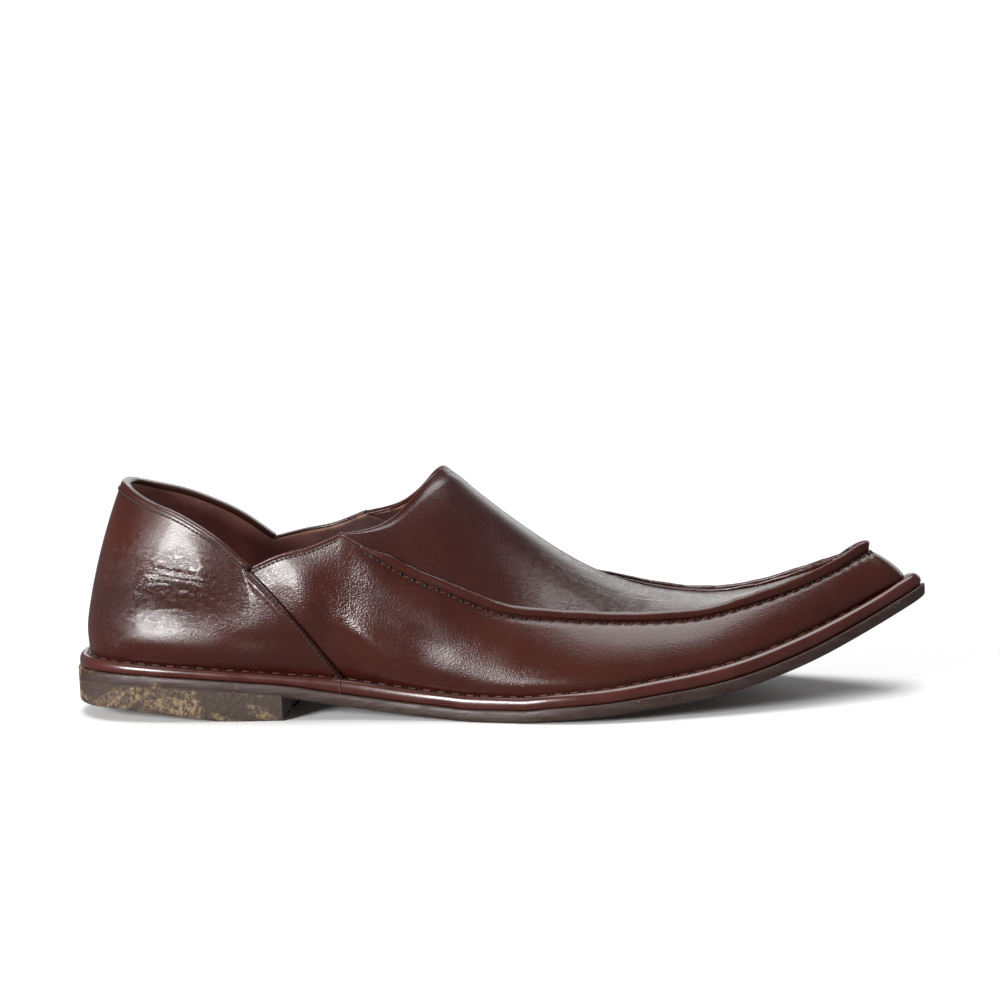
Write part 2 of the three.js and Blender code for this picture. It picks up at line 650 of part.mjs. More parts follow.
// Back panel, laid over the wall from one slanting edge round the back to the other
function heelQuarter() {
  const edge = through(quarterEdge, (r) => r.up, (r) => angleAt(r.at));
  const rows = shares(wallRows).map((up) => shares(quarterColumns).map((share) => {
    const angle = Math.abs(1 - 2 * share) * edge(up);
    return wallPoint(share < 0.5 ? INNER : OUTER, angle, up);
  }));
  return thicken(surface(rows, false), gap, gap + quarterThickness, standsAt);
}

const leather = finish(0x4e2c28, 0.32);
const lining = finish(0x3b2320, 0.6);
const soleLeather = finish(0x453630, 0.55);
const heelRubber = finish(0x5a4742, 0.7);

const pieces = [
  ['outsole', outsole(), soleLeather],
  ['heel', heel(), heelRubber],
  ['rand', rand(), leather],
  ['upper', upper(), leather],
  ['heel_quarter', heelQuarter(), leather],
  ['insole', insole(), lining],
];

const shoe = new THREE.Group();
for (const [name, geometry, material] of pieces) {
  const mesh = new THREE.Mesh(geometry, material);
  mesh.name = name;
  shoe.add(mesh);
}

// The middle of the box goes over the origin, and the ground stays at Z = 0
const middle = new THREE.Box3().setFromObject(shoe).getCenter(new THREE.Vector3());
const mule = new THREE.Group();
shoe.position.set(-middle.x, -middle.y, 0);
mule.add(shoe);

export default mule;
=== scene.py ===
# Dresses the mule: leather, seams, stitches, creases, wear, the floor, the lights and the camera.
# Metres. +X points to the toe, +Z up, and -Y is the outer side of a right foot.
# The shoe is worked out with X = 0 at the back of the sole, then moved over the origin.
import bisect
import math

import bmesh
import bpy
from bpy.props import FloatProperty, FloatVectorProperty, PointerProperty
from mathutils import Matrix, Vector, noise


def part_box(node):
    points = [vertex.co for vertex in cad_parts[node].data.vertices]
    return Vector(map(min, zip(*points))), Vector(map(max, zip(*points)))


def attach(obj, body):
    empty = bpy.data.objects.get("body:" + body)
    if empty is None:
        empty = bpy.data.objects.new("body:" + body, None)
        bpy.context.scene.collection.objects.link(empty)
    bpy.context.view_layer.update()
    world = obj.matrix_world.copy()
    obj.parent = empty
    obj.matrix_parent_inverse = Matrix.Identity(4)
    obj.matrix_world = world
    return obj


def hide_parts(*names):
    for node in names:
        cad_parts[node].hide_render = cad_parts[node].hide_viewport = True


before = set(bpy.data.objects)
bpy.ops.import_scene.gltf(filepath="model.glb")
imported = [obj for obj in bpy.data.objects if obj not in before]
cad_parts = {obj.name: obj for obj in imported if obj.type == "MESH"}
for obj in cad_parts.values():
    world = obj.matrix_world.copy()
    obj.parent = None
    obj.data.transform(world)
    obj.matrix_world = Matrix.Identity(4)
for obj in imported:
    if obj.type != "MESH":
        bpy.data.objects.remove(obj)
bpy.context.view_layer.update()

bl_info = {
    "name": "Leather mule",
    "version": (1, 0, 0),
    "blender": (4, 5, 0),
    "location": "View3D > Sidebar > Mule",
    "description": "Makes a leather mule with a long pointed toe, piece by piece",
    "category": "Object",
}

# The two sides of the shoe, as the sign of Y on each
OUTER = -1
INNER = 1

# In metres. Corners nearer to each other than SAME_PLACE are one.
MILLIMETRE = 0.001
SAME_PLACE = 1e-6

SOLE_LOW, SOLE_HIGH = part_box("outsole")

# Sole line. at is a share of the length. heel, wear and spring are shares of heel_height,
# heel_wear and toe_spring, which add up to the height of the outsole's underside.
SOLE_LINE = [
    dict(at=0.000, heel=1.00, wear=0.92, spring=0.000),
    dict(at=0.030, heel=1.00, wear=1.08, spring=0.000),
    dict(at=0.080, heel=1.00, wear=1.00, spring=0.000),
    dict(at=0.140, heel=1.00, wear=0.76, spring=0.000),
    dict(at=0.215, heel=1.00, wear=0.36, spring=0.000),
    dict(at=0.265, heel=1.00, wear=0.07, spring=0.000),
    dict(at=0.321, heel=0.70, wear=0.00, spring=0.000),
    dict(at=0.358, heel=0.49, wear=0.00, spring=0.000),
    dict(at=0.405, heel=0.27, wear=0.00, spring=0.000),
    dict(at=0.452, heel=0.10, wear=0.00, spring=0.000),
    dict(at=0.492, heel=0.00, wear=0.00, spring=0.000),
    dict(at=0.548, heel=0.00, wear=0.00, spring=0.000),
    dict(at=0.586, heel=0.00, wear=0.00, spring=0.030),
    dict(at=0.665, heel=0.00, wear=0.00, spring=0.083),
    dict(at=0.710, heel=0.00, wear=0.00, spring=0.132),
    dict(at=0.754, heel=0.00, wear=0.00, spring=0.179),
    dict(at=0.799, heel=0.00, wear=0.00, spring=0.254),
    dict(at=0.843, heel=0.00, wear=0.00, spring=0.365),
    dict(at=0.887, heel=0.00, wear=0.00, spring=0.508),
    dict(at=0.930, heel=0.00, wear=0.00, spring=0.682),
    dict(at=0.973, heel=0.00, wear=0.00, spring=0.872),
    dict(at=1.000, heel=0.00, wear=0.00, spring=1.000),
]

# Sole outline. outer and inner are the distances from the middle line to the two sides, as
# shares of the size named by across.
SOLE_OUTLINE = [
    dict(at=0.000, outer=0.000, inner=0.000, across="heel_width"),
    dict(at=0.009, outer=0.205, inner=0.200, across="heel_width"),
    dict(at=0.031, outer=0.345, inner=0.335, across="heel_width"),
    dict(at=0.062, outer=0.428, inner=0.420, across="heel_width"),
    dict(at=0.109, outer=0.478, inner=0.471, across="heel_width"),
    dict(at=0.171, outer=0.500, inner=0.493, across="heel_width"),
    dict(at=0.265, outer=0.503, inner=0.490, across="heel_width"),
    dict(at=0.358, outer=0.360, inner=0.318, across="ball_width"),
    dict(at=0.436, outer=0.396, inner=0.312, across="ball_width"),
    dict(at=0.514, outer=0.457, inner=0.358, across="ball_width"),
    dict(at=0.585, outer=0.500, inner=0.434, across="ball_width"),
    dict(at=0.620, outer=0.508, inner=0.470, across="ball_width"),
    dict(at=0.655, outer=0.500, inner=0.490, across="ball_width"),
    dict(at=0.701, outer=0.472, inner=0.479, across="ball_width"),
    dict(at=0.751, outer=0.428, inner=0.439, across="ball_width"),
    dict(at=0.804, outer=0.370, inner=0.380, across="ball_width"),
    dict(at=0.857, outer=0.294, inner=0.315, across="ball_width"),
    dict(at=0.903, outer=0.213, inner=0.252, across="ball_width"),
    dict(at=0.944, outer=0.128, inner=0.188, across="ball_width"),
    dict(at=0.972, outer=0.063, inner=0.138, across="ball_width"),
    dict(at=0.991, outer=0.016, inner=0.098, across="ball_width"),
    dict(at=1.000, outer=-0.041, inner=0.041, across="ball_width"),
]

# Height of the rolled edge along the shoe. high is a share of bead_height.
BEAD_LINE = [
    dict(at=0.00, high=1.05),
    dict(at=0.06, high=0.85),
    dict(at=0.15, high=0.76),
    dict(at=0.26, high=0.76),
    dict(at=0.33, high=1.08),
    dict(at=0.42, high=1.00),
    dict(at=0.60, high=0.96),
    dict(at=0.75, high=1.12),
    dict(at=0.88, high=1.28),
    dict(at=1.00, high=1.12),
]

# Section of the rolled edge: away is the share of the way from the edge to the upper, up the
# share of the height there. SEAT_SHARE is the share that the platform inside it stands at.
BEAD_SECTION = [
    dict(away=0.10, up=0.00),
    dict(away=0.01, up=0.20),
    dict(away=0.00, up=0.50),
    dict(away=0.14, up=0.82),
    dict(away=0.46, up=1.00),
    dict(away=0.80, up=0.90),
    dict(away=1.00, up=0.72),
]
SEAT_SHARE = 0.72

# Top edge of the wall, from the middle of the back down to the notch at the side, up to the
# start of the raised seam, and along that seam to the tip. foot and at are shares of the
# length, out and up are shares of the sizes named by across and of.
TOP_OUTER = [
    dict(foot=0.0000, at=0.0690, out=0.000, across="heel_width", up=0.990, of="quarter_height"),
    dict(foot=0.0120, at=0.0740, out=0.108, across="heel_width", up=0.980, of="quarter_height"),
    dict(foot=0.0400, at=0.0935, out=0.206, across="heel_width", up=0.944, of="quarter_height"),
    dict(foot=0.0700, at=0.1140, out=0.270, across="heel_width", up=0.912, of="quarter_height"),
    dict(foot=0.1200, at=0.1500, out=0.344, across="heel_width", up=0.862, of="quarter_height"),
    dict(foot=0.1750, at=0.1910, out=0.400, across="heel_width", up=0.758, of="quarter_height"),
    dict(foot=0.2325, at=0.2325, out=0.436, across="heel_width", up=0.603, of="quarter_height", corner=1),
    dict(foot=0.2700, at=0.2690, out=0.453, across="heel_width", up=0.575, of="instep_height"),
    dict(foot=0.3080, at=0.3070, out=0.320, across="ball_width", up=0.630, of="instep_height"),
    dict(foot=0.3460, at=0.3460, out=0.317, across="ball_width", up=0.712, of="instep_height", corner=1),
    dict(foot=0.3850, at=0.3850, out=0.326, across="ball_width", up=0.638, of="instep_height"),
    dict(foot=0.4240, at=0.4220, out=0.326, across="ball_width", up=0.564, of="instep_height"),
    dict(foot=0.4600, at=0.4570, out=0.326, across="ball_width", up=0.514, of="instep_height"),
    dict(foot=0.5250, at=0.5250, out=0.320, across="ball_width", up=0.403, of="instep_height"),
    dict(foot=0.5930, at=0.5930, out=0.300, across="ball_width", up=0.343, of="instep_height"),
    dict(foot=0.6390, at=0.6390, out=0.285, across="ball_width", up=1.157, of="toe_height"),
    dict(foot=0.6950, at=0.6950, out=0.260, across="ball_width", up=1.020, of="toe_height"),
    dict(foot=0.7510, at=0.7510, out=0.224, across="ball_width", up=0.926, of="toe_height"),
    dict(foot=0.7980, at=0.7950, out=0.189, across="ball_width", up=0.925, of="toe_height"),
    dict(foot=0.8600, at=0.8550, out=0.128, across="ball_width", up=0.900, of="toe_height"),
    dict(foot=0.9080, at=0.8970, out=0.070, across="ball_width", up=0.900, of="toe_height"),
    dict(foot=0.9600, at=0.9240, out=0.018, across="ball_width", up=0.930, of="toe_height"),
    dict(foot=1.0000, at=0.9340, out=-0.026, across="ball_width", up=0.930, of="toe_height"),
]
TOP_INNER = [
    dict(foot=0.0000, at=0.0690, out=0.000, across="heel_width", up=0.990, of="quarter_height"),
    dict(foot=0.0120, at=0.0740, out=0.112, across="heel_width", up=0.980, of="quarter_height"),
    dict(foot=0.0400, at=0.0930, out=0.215, across="heel_width", up=0.940, of="quarter_height"),
    dict(foot=0.0700, at=0.1190, out=0.290, across="heel_width", up=0.900, of="quarter_height"),
    dict(foot=0.1200, at=0.1520, out=0.358, across="heel_width", up=0.832, of="quarter_height"),
    dict(foot=0.1750, at=0.1850, out=0.402, across="heel_width", up=0.748, of="quarter_height"),
    dict(foot=0.2325, at=0.2200, out=0.440, across="heel_width", up=0.622, of="quarter_height", corner=1),
    dict(foot=0.2700, at=0.2590, out=0.460, across="heel_width", up=0.560, of="instep_height"),
    dict(foot=0.3080, at=0.2970, out=0.315, across="ball_width", up=0.605, of="instep_height"),
    dict(foot=0.3460, at=0.3380, out=0.284, across="ball_width", up=0.688, of="instep_height", corner=1),
    dict(foot=0.3850, at=0.3800, out=0.300, across="ball_width", up=0.640, of="instep_height"),
    dict(foot=0.4240, at=0.4210, out=0.308, across="ball_width", up=0.590, of="instep_height"),
    dict(foot=0.4600, at=0.4570, out=0.312, across="ball_width", up=0.548, of="instep_height"),
    dict(foot=0.5250, at=0.5250, out=0.315, across="ball_width", up=0.468, of="instep_height"),
    dict(foot=0.5930, at=0.5930, out=0.306, across="ball_width", up=0.405, of="instep_height"),
    dict(foot=0.6390, at=0.6390, out=0.292, across="ball_width", up=1.310, of="toe_height"),
    dict(foot=0.6950, at=0.6950, out=0.267, across="ball_width", up=1.070, of="toe_height"),
    dict(foot=0.7510, at=0.7510, out=0.236, across="ball_width", up=0.930, of="toe_height"),
    dict(foot=0.7980, at=0.7950, out=0.204, across="ball_width", up=0.893, of="toe_height"),
    dict(foot=0.8600, at=0.8550, out=0.150, across="ball_width", up=0.890, of="toe_height"),
    dict(foot=0.9080, at=0.8970, out=0.098, across="ball_width", up=0.885, of="toe_height"),
    dict(foot=0.9600, at=0.9240, out=0.062, across="ball_width", up=0.930, of="toe_height"),
    dict(foot=1.0000, at=0.9340, out=0.026, across="ball_width", up=0.930, of="toe_height"),
]

# Fullness of the wall: how far it swells past a straight line from its foot to its top edge.
# outer and inner are shares of heel_width.
FULLNESS = [
    dict(at=0.00, outer=0.048, inner=0.048),
    dict(at=0.08, outer=0.060, inner=0.060),
    dict(at=0.22, outer=0.070, inner=0.058),
    dict(at=0.38, outer=0.085, inner=0.065),
    dict(at=0.50, outer=0.070, inner=0.065),
    dict(at=0.70, outer=0.052, inner=0.055),
    dict(at=0.90, outer=0.046, inner=0.046),
    dict(at=1.00, outer=0.072, inner=0.072),
]

# Share of that fullness at each height of the wall
SWELL_LINE = [
    dict(up=0.000, full=0.000),
    dict(up=0.167, full=0.812),
    dict(up=0.333, full=0.999),
    dict(up=0.500, full=0.966),
    dict(up=0.667, full=0.781),
    dict(up=0.833, full=0.457),
    dict(up=1.000, full=0.000),
]

# Middle line of the apron
APRON_CROWN = [
    dict(at=0.338, up=0.945, of="instep_height"),
    dict(at=0.400, up=0.998, of="instep_height"),
    dict(at=0.436, up=1.034, of="instep_height"),
    dict(at=0.456, up=1.000, of="instep_height"),
    dict(at=0.479, up=0.920, of="instep_height"),
    dict(at=0.501, up=0.842, of="instep_height"),
    dict(at=0.524, up=0.762, of="instep_height"),
    dict(at=0.547, up=0.687, of="instep_height"),
    dict(at=0.569, up=0.610, of="instep_height"),
    dict(at=0.592, up=0.533, of="instep_height"),
    dict(at=0.620, up=0.456, of="instep_height"),
    dict(at=0.660, up=1.370, of="toe_height"),
    dict(at=0.700, up=1.160, of="toe_height"),
    dict(at=0.751, up=1.000, of="toe_height"),
    dict(at=0.800, up=0.960, of="toe_height"),
    dict(at=0.855, up=0.940, of="toe_height"),
    dict(at=0.900, up=0.925, of="toe_height"),
    dict(at=0.934, up=0.930, of="toe_height"),
]

# Edge of the throat, from the start of the raised seam (share 0) up to its middle (share 1).
# along is the share of the way forward, out the share of the width left.
THROAT_PEAK = 0.4555
THROAT_EDGE = [
    dict(share=0.0, along=0.000, out=1.000),
    dict(share=0.2, along=0.310, out=0.870),
    dict(share=0.4, along=0.520, out=0.735),
    dict(share=0.6, along=0.735, out=0.535),
    dict(share=0.8, along=0.900, out=0.285),
    dict(share=1.0, along=1.000, out=0.000),
]

# Slanting front edge of the back panel: up is a share of the wall's height, at the share of
# the length at which that strip of wall stands.
QUARTER_EDGE = [
    dict(up=0.00, at=0.338),
    dict(up=0.30, at=0.306),
    dict(up=0.65, at=0.268),
    dict(up=1.00, at=0.2325),
]

# Where the wall stands under the notch, under the start of the seam and where the seam
# begins to rise, and where the tuck under the back panel ends, as shares of the length
NOTCH_FOOT = 0.2325
SEAM_FOOT = 0.346
RIB_FOOT = 0.366
TUCK_END = 0.42

# How soon, from the two ends on, a ring inside the outline stands its full inset away
END_ROUND = 1.6


def length_of(name, default, about):
    return FloatProperty(name=name, description=about, default=default, unit="LENGTH", subtype="DISTANCE")


def colour_of(name, default, about):
    return FloatVectorProperty(name=name, description=about, default=default, size=3, min=0, max=1,
                               subtype="COLOR")


class MuleSizes(bpy.types.PropertyGroup):
    """Sizes of the mule"""
    length: length_of("Length", SOLE_HIGH[0] - SOLE_LOW[0], "Length of the sole")
    ball_width: length_of("Ball width", 0.0985, "Width that the front of the sole is shared from")
    heel_width: length_of("Heel width", 0.069, "Width of the heel")
    heel_height: length_of("Heel height", 0.0084, "Height of the heel block")
    heel_length: length_of("Heel length", 0.085, "Length of the heel block, up to its breast")
    breast_hollow: length_of("Breast hollow", 0.0025, "How far the heel's breast is hollowed")
    heel_wear: length_of("Heel wear", 0.0048, "How far the back of the heel is worn up")
    heel_flat: length_of("Heel flat", 0.016, "Length of the part of the heel that stands flat")
    toe_spring: length_of("Toe spring", 0.035, "Height of the sole's underside at the tip")
    outsole_thickness: length_of("Outsole thickness", 0.0046, "Thickness of the outsole")
    bead_height: length_of("Bead height", 0.0046, "Height of the rolled edge over the outsole")
    bead_inset: length_of("Bead inset", 0.0008, "How far the rolled edge stands back from the sole")
    wall_inset: length_of("Wall inset", 0.0049, "How far the upper stands in from the sole's edge")
    toe_set_back: length_of("Toe set back", 0.0041, "How much further the upper stands in at the tip")
    quarter_height: length_of("Back height", 0.0645, "Height of the upper at the back")
    instep_height: length_of("Instep height", 0.078, "Height that the instep is shared from")
    toe_height: length_of("Toe height", 0.021, "Height of the upper at the toe")
    wall: length_of("Leather thickness", 0.002, "Thickness of the upper with its lining")
    quarter_thickness: length_of("Back panel thickness", 0.0012, "Thickness of the back panel")
    seam_width: length_of("Seam width", 0.0026, "Width of the raised seam")
    seam_height: length_of("Seam height", 0.0026, "Height of the raised seam")
    insole_thickness: length_of("Insole thickness", 0.0024, "Thickness of the insole")
    insole_margin: length_of("Insole margin", 0.0014, "Gap round the insole")
    gap: length_of("Gap", 0.0003, "Gap that is left between two pieces")
    middle_offset: length_of("Middle offset", 0.00079, "How far the middle line lies to the inner side")


class MuleColours(bpy.types.PropertyGroup):
    """Colours of the mule"""
    leather: colour_of("Leather", (0.045, 0.0080, 0.0043), "Upper leather on the sides")
    leather_dark: colour_of("Dark leather", (0.028, 0.0048, 0.0031), "Upper leather in shade or dirt")
    apron: colour_of("Apron leather", (0.037, 0.0088, 0.0068), "Leather of the apron")
    rand: colour_of("Rand", (0.062, 0.0110, 0.0075), "Leather wrapped round the rand")
    cut_edge: colour_of("Cut edge", (0.22, 0.10, 0.065), "Raw edge of the leather")
    lining: colour_of("Lining", (0.40, 0.170, 0.150), "Lining leather")
    lining_worn: colour_of("Worn lining", (0.24, 0.105, 0.055), "Lining where it is worn pale")
    sole: colour_of("Sole leather", (0.040, 0.023, 0.018), "Edge of the outsole")
    heel: colour_of("Heel", (0.046, 0.030, 0.023), "Heel block")
    dirt: colour_of("Dirt", (0.23, 0.155, 0.085), "Dust and dried mud")
    thread: colour_of("Thread", (0.11, 0.040, 0.028), "Sewing thread")
    moc_thread: colour_of("Moc thread", (0.075, 0.024, 0.017), "Thread of the raised seam")
    # Near-black painted shade for the stitch holes, standing in for the shadow inside them
    hole_shade: colour_of("Stitch hole", (0.004, 0.002, 0.002), "Inside of the stitch holes")
    floor: colour_of("Floor", (0.94, 0.94, 0.94), "Floor under the shoe")


def through(rows, place_of, value_of, level_ends=False):
    """A smooth curve through the rows of a table. It runs level wherever two rows are level, and
    a row marked as a corner keeps its corner."""
    places = [place_of(row) for row in rows]
    values = [value_of(row) for row in rows]
    last = len(rows) - 1
    spans = [places[i + 1] - places[i] for i in range(last)]
    slopes = [(values[i + 1] - values[i]) / spans[i] for i in range(last)]

    def slope_at(i, beside):
        if i in (0, last):
            return 0.0 if level_ends else slopes[beside]
        if "corner" in rows[i]:
            return slopes[beside]
        if slopes[i - 1] == 0 or slopes[i] == 0:
            return 0.0
        share = spans[i] / (spans[i - 1] + spans[i])
        return slopes[i - 1] * share + slopes[i] * (1 - share)

    leaving = [slope_at(i, min(i, last - 1)) for i in range(last + 1)]
    arriving = [slope_at(i, max(i - 1, 0)) for i in range(last + 1)]

    def curve(place):
        held = min(max(place, places[0]), places[last])
        after = min(max(bisect.bisect_left(places, held), 1), last)
        before = after - 1
        span = spans[before]
        t = (held - places[before]) / span
        t2 = t * t
        t3 = t2 * t
        start = (2 * t3 - 3 * t2 + 1) * values[before] + (t3 - 2 * t2 + t) * span * leaving[before]
        return start + (3 * t2 - 2 * t3) * values[after] + (t3 - t2) * span * arriving[after]

    return curve


def smoothstep(value, low, high):
    t = min(max((value - low) / (high - low), 0.0), 1.0)
    return t * t * (3 - 2 * t)


def mix(a, b, share):
    return a + (b - a) * share


def angle_at(share):
    """Angle round the shoe, 0 at the back and pi at the tip, at a share of the length"""
    return math.acos(1 - 2 * share)


def share_at(angle):
    """Share of the length at an angle round the shoe"""
    return (1 - math.cos(angle)) / 2


NOTCH_ANGLE = angle_at(NOTCH_FOOT)
SEAM_ANGLE = angle_at(SEAM_FOOT)
RIB_ANGLE = angle_at(RIB_FOOT)


class Last:
    """The shoe's own shape: where its sole, wall, apron and throat run at the given sizes"""

    def __init__(self, sizes):
        self.sizes = sizes
        length = sizes.length

        def at_of(row):
            return row["at"] * length

        self.move = Vector((-length / 2, sizes.middle_offset, 0))
        self.sole_bottom = through(SOLE_LINE, at_of, lambda r: (
            r["heel"] * sizes.heel_height + r["wear"] * sizes.heel_wear + r["spring"] * sizes.toe_spring))
        self.bead_rise = through(BEAD_LINE, at_of, lambda r: r["high"] * sizes.bead_height)
        self.outline = {
            side: through(SOLE_OUTLINE, lambda r: angle_at(r["at"]), lambda r: (
                side * r[word] * getattr(sizes, r["across"])))
            for side, word in ((OUTER, "outer"), (INNER, "inner"))
        }
        self.swell = {
            OUTER: through(FULLNESS, at_of, lambda r: r["outer"] * sizes.heel_width),
            INNER: through(FULLNESS, at_of, lambda r: r["inner"] * sizes.heel_width),
        }
        self.top = {side: self.top_curves(side, at_of) for side in (OUTER, INNER)}
        self.seam = {side: self.seam_side(side, at_of) for side in (OUTER, INNER)}
        self.crown = through(APRON_CROWN, at_of, lambda r: (
            self.wall_bottom(at_of(r)) + r["up"] * getattr(sizes, r["of"])))
        self.throat_along = through(THROAT_EDGE, lambda r: r["share"], lambda r: r["along"])
        self.throat_out = through(THROAT_EDGE, lambda r: r["share"], lambda r: r["out"])
        self.quarter_edge = through(QUARTER_EDGE, lambda r: r["up"], lambda r: angle_at(r["at"]))
        self.fullness = through(SWELL_LINE, lambda r: r["up"], lambda r: r["full"])
        self.stations = {}

    def top_curves(self, side, at_of):
        rows = TOP_OUTER if side == OUTER else TOP_INNER
        sizes = self.sizes

        def foot_of(row):
            return angle_at(row["foot"])

        return (
            through(rows, foot_of, at_of, True),
            through(rows, foot_of, lambda r: side * r["out"] * getattr(sizes, r["across"])),
            through(rows, foot_of, lambda r: (
                self.wall_bottom(at_of(r)) + r["up"] * getattr(sizes, r["of"])), True),
        )

    def seam_side(self, side, at_of):
        rows = [r for r in (TOP_OUTER if side == OUTER else TOP_INNER) if r["foot"] >= SEAM_FOOT]
        sizes = self.sizes
        return (
            through(rows, at_of, lambda r: side * r["out"] * getattr(sizes, r["across"])),
            through(rows, at_of, lambda r: self.wall_bottom(at_of(r)) + r["up"] * getattr(sizes, r["of"])),
        )

    def sole_top(self, x):
        return self.sole_bottom(x) + self.sizes.outsole_thickness

    def rand_bottom(self, x):
        return self.sole_top(x) + self.sizes.gap

    def wall_bottom(self, x):
        return self.rand_bottom(x) + SEAT_SHARE * self.bead_rise(x) + self.sizes.gap

    def outline_point(self, side, angle, inset, tip_inset=0.0):
        """A place on the sole's outline, drawn in by inset, and by tip_inset more at the tip"""
        reach = 1 - (1 - math.sin(angle)) ** END_ROUND
        x = inset + share_at(angle) * (self.sizes.length - 2 * inset - tip_inset)
        return Vector((x, self.outline[side](angle) - side * inset * reach, 0))

    def foot(self, side, angle):
        """The foot of the wall, tucked in where the back panel lies over it"""
        sizes = self.sizes
        tuck = sizes.quarter_thickness + sizes.gap
        tuck *= 1 - smoothstep(share_at(angle), QUARTER_EDGE[0]["at"], TUCK_END)
        place = self.outline_point(side, angle, sizes.wall_inset + tuck, sizes.toe_set_back)
        place.z = self.wall_bottom(place.x)
        return place

    def top_point(self, side, angle):
        return Vector([curve(angle) for curve in self.top[side]])

    def away(self, side, angle):
        """Direction level with the ground, straight out of the wall"""
        step = 0.01
        if angle < step:
            return Vector((-1, 0, 0))
        if angle > math.pi - step:
            return Vector((1, 0, 0))
        way = self.foot(side, angle + step) - self.foot(side, angle - step)
        return Vector((-side * way.y, side * way.x, 0)).normalized()

    def station(self, side, angle):
        """Foot, top, direction out and fullness of the wall at an angle"""
        key = (side, round(angle, 7))
        if key not in self.stations:
            foot = self.foot(side, angle)
            top = self.top_point(side, angle)
            self.stations[key] = (foot, top, self.away(side, angle), self.swell[side](foot.x))
        return self.stations[key]

    def wall(self, side, angle, up):
        """A place on the outside of the wall, at a share of its height"""
        foot, top, away, swell = self.station(side, angle)
        return foot.lerp(top, up) + away * (swell * self.fullness(up))

    def wall_normal(self, side, angle, up):
        step = 0.012
        along = self.wall(side, min(angle + step, math.pi), up) - self.wall(side, max(angle - step, 0), up)
        rise = self.wall(side, angle, min(up + step, 1)) - self.wall(side, angle, max(up - step, 0))
        normal = along.cross(rise) if side == OUTER else rise.cross(along)
        away = self.station(side, angle)[2]
        if normal.length < 1e-12:
            return away.copy()
        normal.normalize()
        return normal if normal.dot(away) > -0.2 else -normal

    def apron_height(self, x, y):
        """Height of the apron: arched between the seam's two sides, up to its middle line"""
        outer_y, outer_z = (curve(x) for curve in self.seam[OUTER])
        inner_y, inner_z = (curve(x) for curve in self.seam[INNER])
        half = max((inner_y - outer_y) / 2, 0.001)
        across = min(max((y - (inner_y + outer_y) / 2) / half, -1), 1)
        between = mix(outer_z, inner_z, (across + 1) / 2)
        return between + (self.crown(x) - (outer_z + inner_z) / 2) * (1 - across * across)

    def throat(self, side, share):
        """A place on the throat's edge, seen from above"""
        start = self.top_point(side, SEAM_ANGLE)
        x = mix(start.x, THROAT_PEAK * self.sizes.length, self.throat_along(share))
        return Vector((x, start.y * self.throat_out(share), 0))

    def apron(self, side, angle, share):
        """A place on the apron, from the seam (share 0) to the throat's edge (share 1)"""
        seam = self.top_point(side, angle)
        if share <= 0:
            return seam
        throat = self.throat(side, (angle - SEAM_ANGLE) / (math.pi - SEAM_ANGLE))
        place = seam.lerp(throat, share)
        place.z = self.apron_height(place.x, place.y)
        return place


# Ways round the shoe

def spread(start, end, count):
    """Values at even steps from the start on, without the end"""
    return [mix(start, end, i / count) for i in range(count)]


def spread_to(start, end, count):
    """Values at even steps from the start to the end"""
    return spread(start, end, count) + [end]


def side_angles(back, notch, front):
    """Angles along one side, with a column at the notch and one at the start of the seam"""
    ahead = spread(0, NOTCH_ANGLE, back) + spread(NOTCH_ANGLE, SEAM_ANGLE, notch)
    return ahead + spread_to(SEAM_ANGLE, math.pi, front)


def way_round(angles):
    """The outer side from the back to the tip, then the inner side back again"""
    return [(OUTER, a) for a in angles] + [(INNER, a) for a in reversed(angles[:-1])]


def way_behind(first, steps):
    """From the notch on the first side round the back to the other notch"""
    angles = spread_to(0, NOTCH_ANGLE, steps)
    return [(first, a) for a in reversed(angles)] + [(-first, a) for a in angles[1:]]


# Meshes and pieces

def sheet(columns, rows, place_of, uv_of, marks=()):
    """A grid whose corners stand where place_of(column, row) says, with its UVs and marks"""
    mesh = bmesh.new()
    bmesh.ops.create_grid(mesh, x_segments=columns, y_segments=rows, size=0.5)
    for name, _ in marks:
        mesh.verts.layers.float.new(name)
    uv = mesh.loops.layers.uv.new("way")
    layers = [(mesh.verts.layers.float[name], value_of) for name, value_of in marks]
    spots = [(v, round((v.co.x + 0.5) * columns), round((v.co.y + 0.5) * rows)) for v in mesh.verts]
    for vert, column, row in spots:
        for layer, value_of in layers:
            vert[layer] = value_of(column, row)
        vert.co = place_of(column, row)
    for face in mesh.faces:
        for loop in face.loops:
            _, column, row = spots[loop.vert.index]
            loop[uv].uv = uv_of(column, row)
    return mesh


def weld(mesh):
    """Joins corners that meet, and deletes the faces that this leaves without an area"""
    bmesh.ops.remove_doubles(mesh, verts=mesh.verts, dist=SAME_PLACE)
    flat = [face for face in mesh.faces if face.calc_area() < 1e-14]
    bmesh.ops.delete(mesh, geom=flat, context="FACES")


def close_ends(mesh):
    open_edges = [edge for edge in mesh.edges if edge.is_boundary]
    bmesh.ops.holes_fill(mesh, edges=open_edges, sides=0)


def frames_along(line, levels):
    """Direction, up and out at each place of a line, from an up direction given for each"""
    last = len(line) - 1
    frames = []
    for i, level in enumerate(levels):
        along = (line[min(i + 1, last)] - line[max(i - 1, 0)]).normalized()
        out = along.cross(level).normalized()
        frames.append((along, out.cross(along).normalized(), out))
    return frames


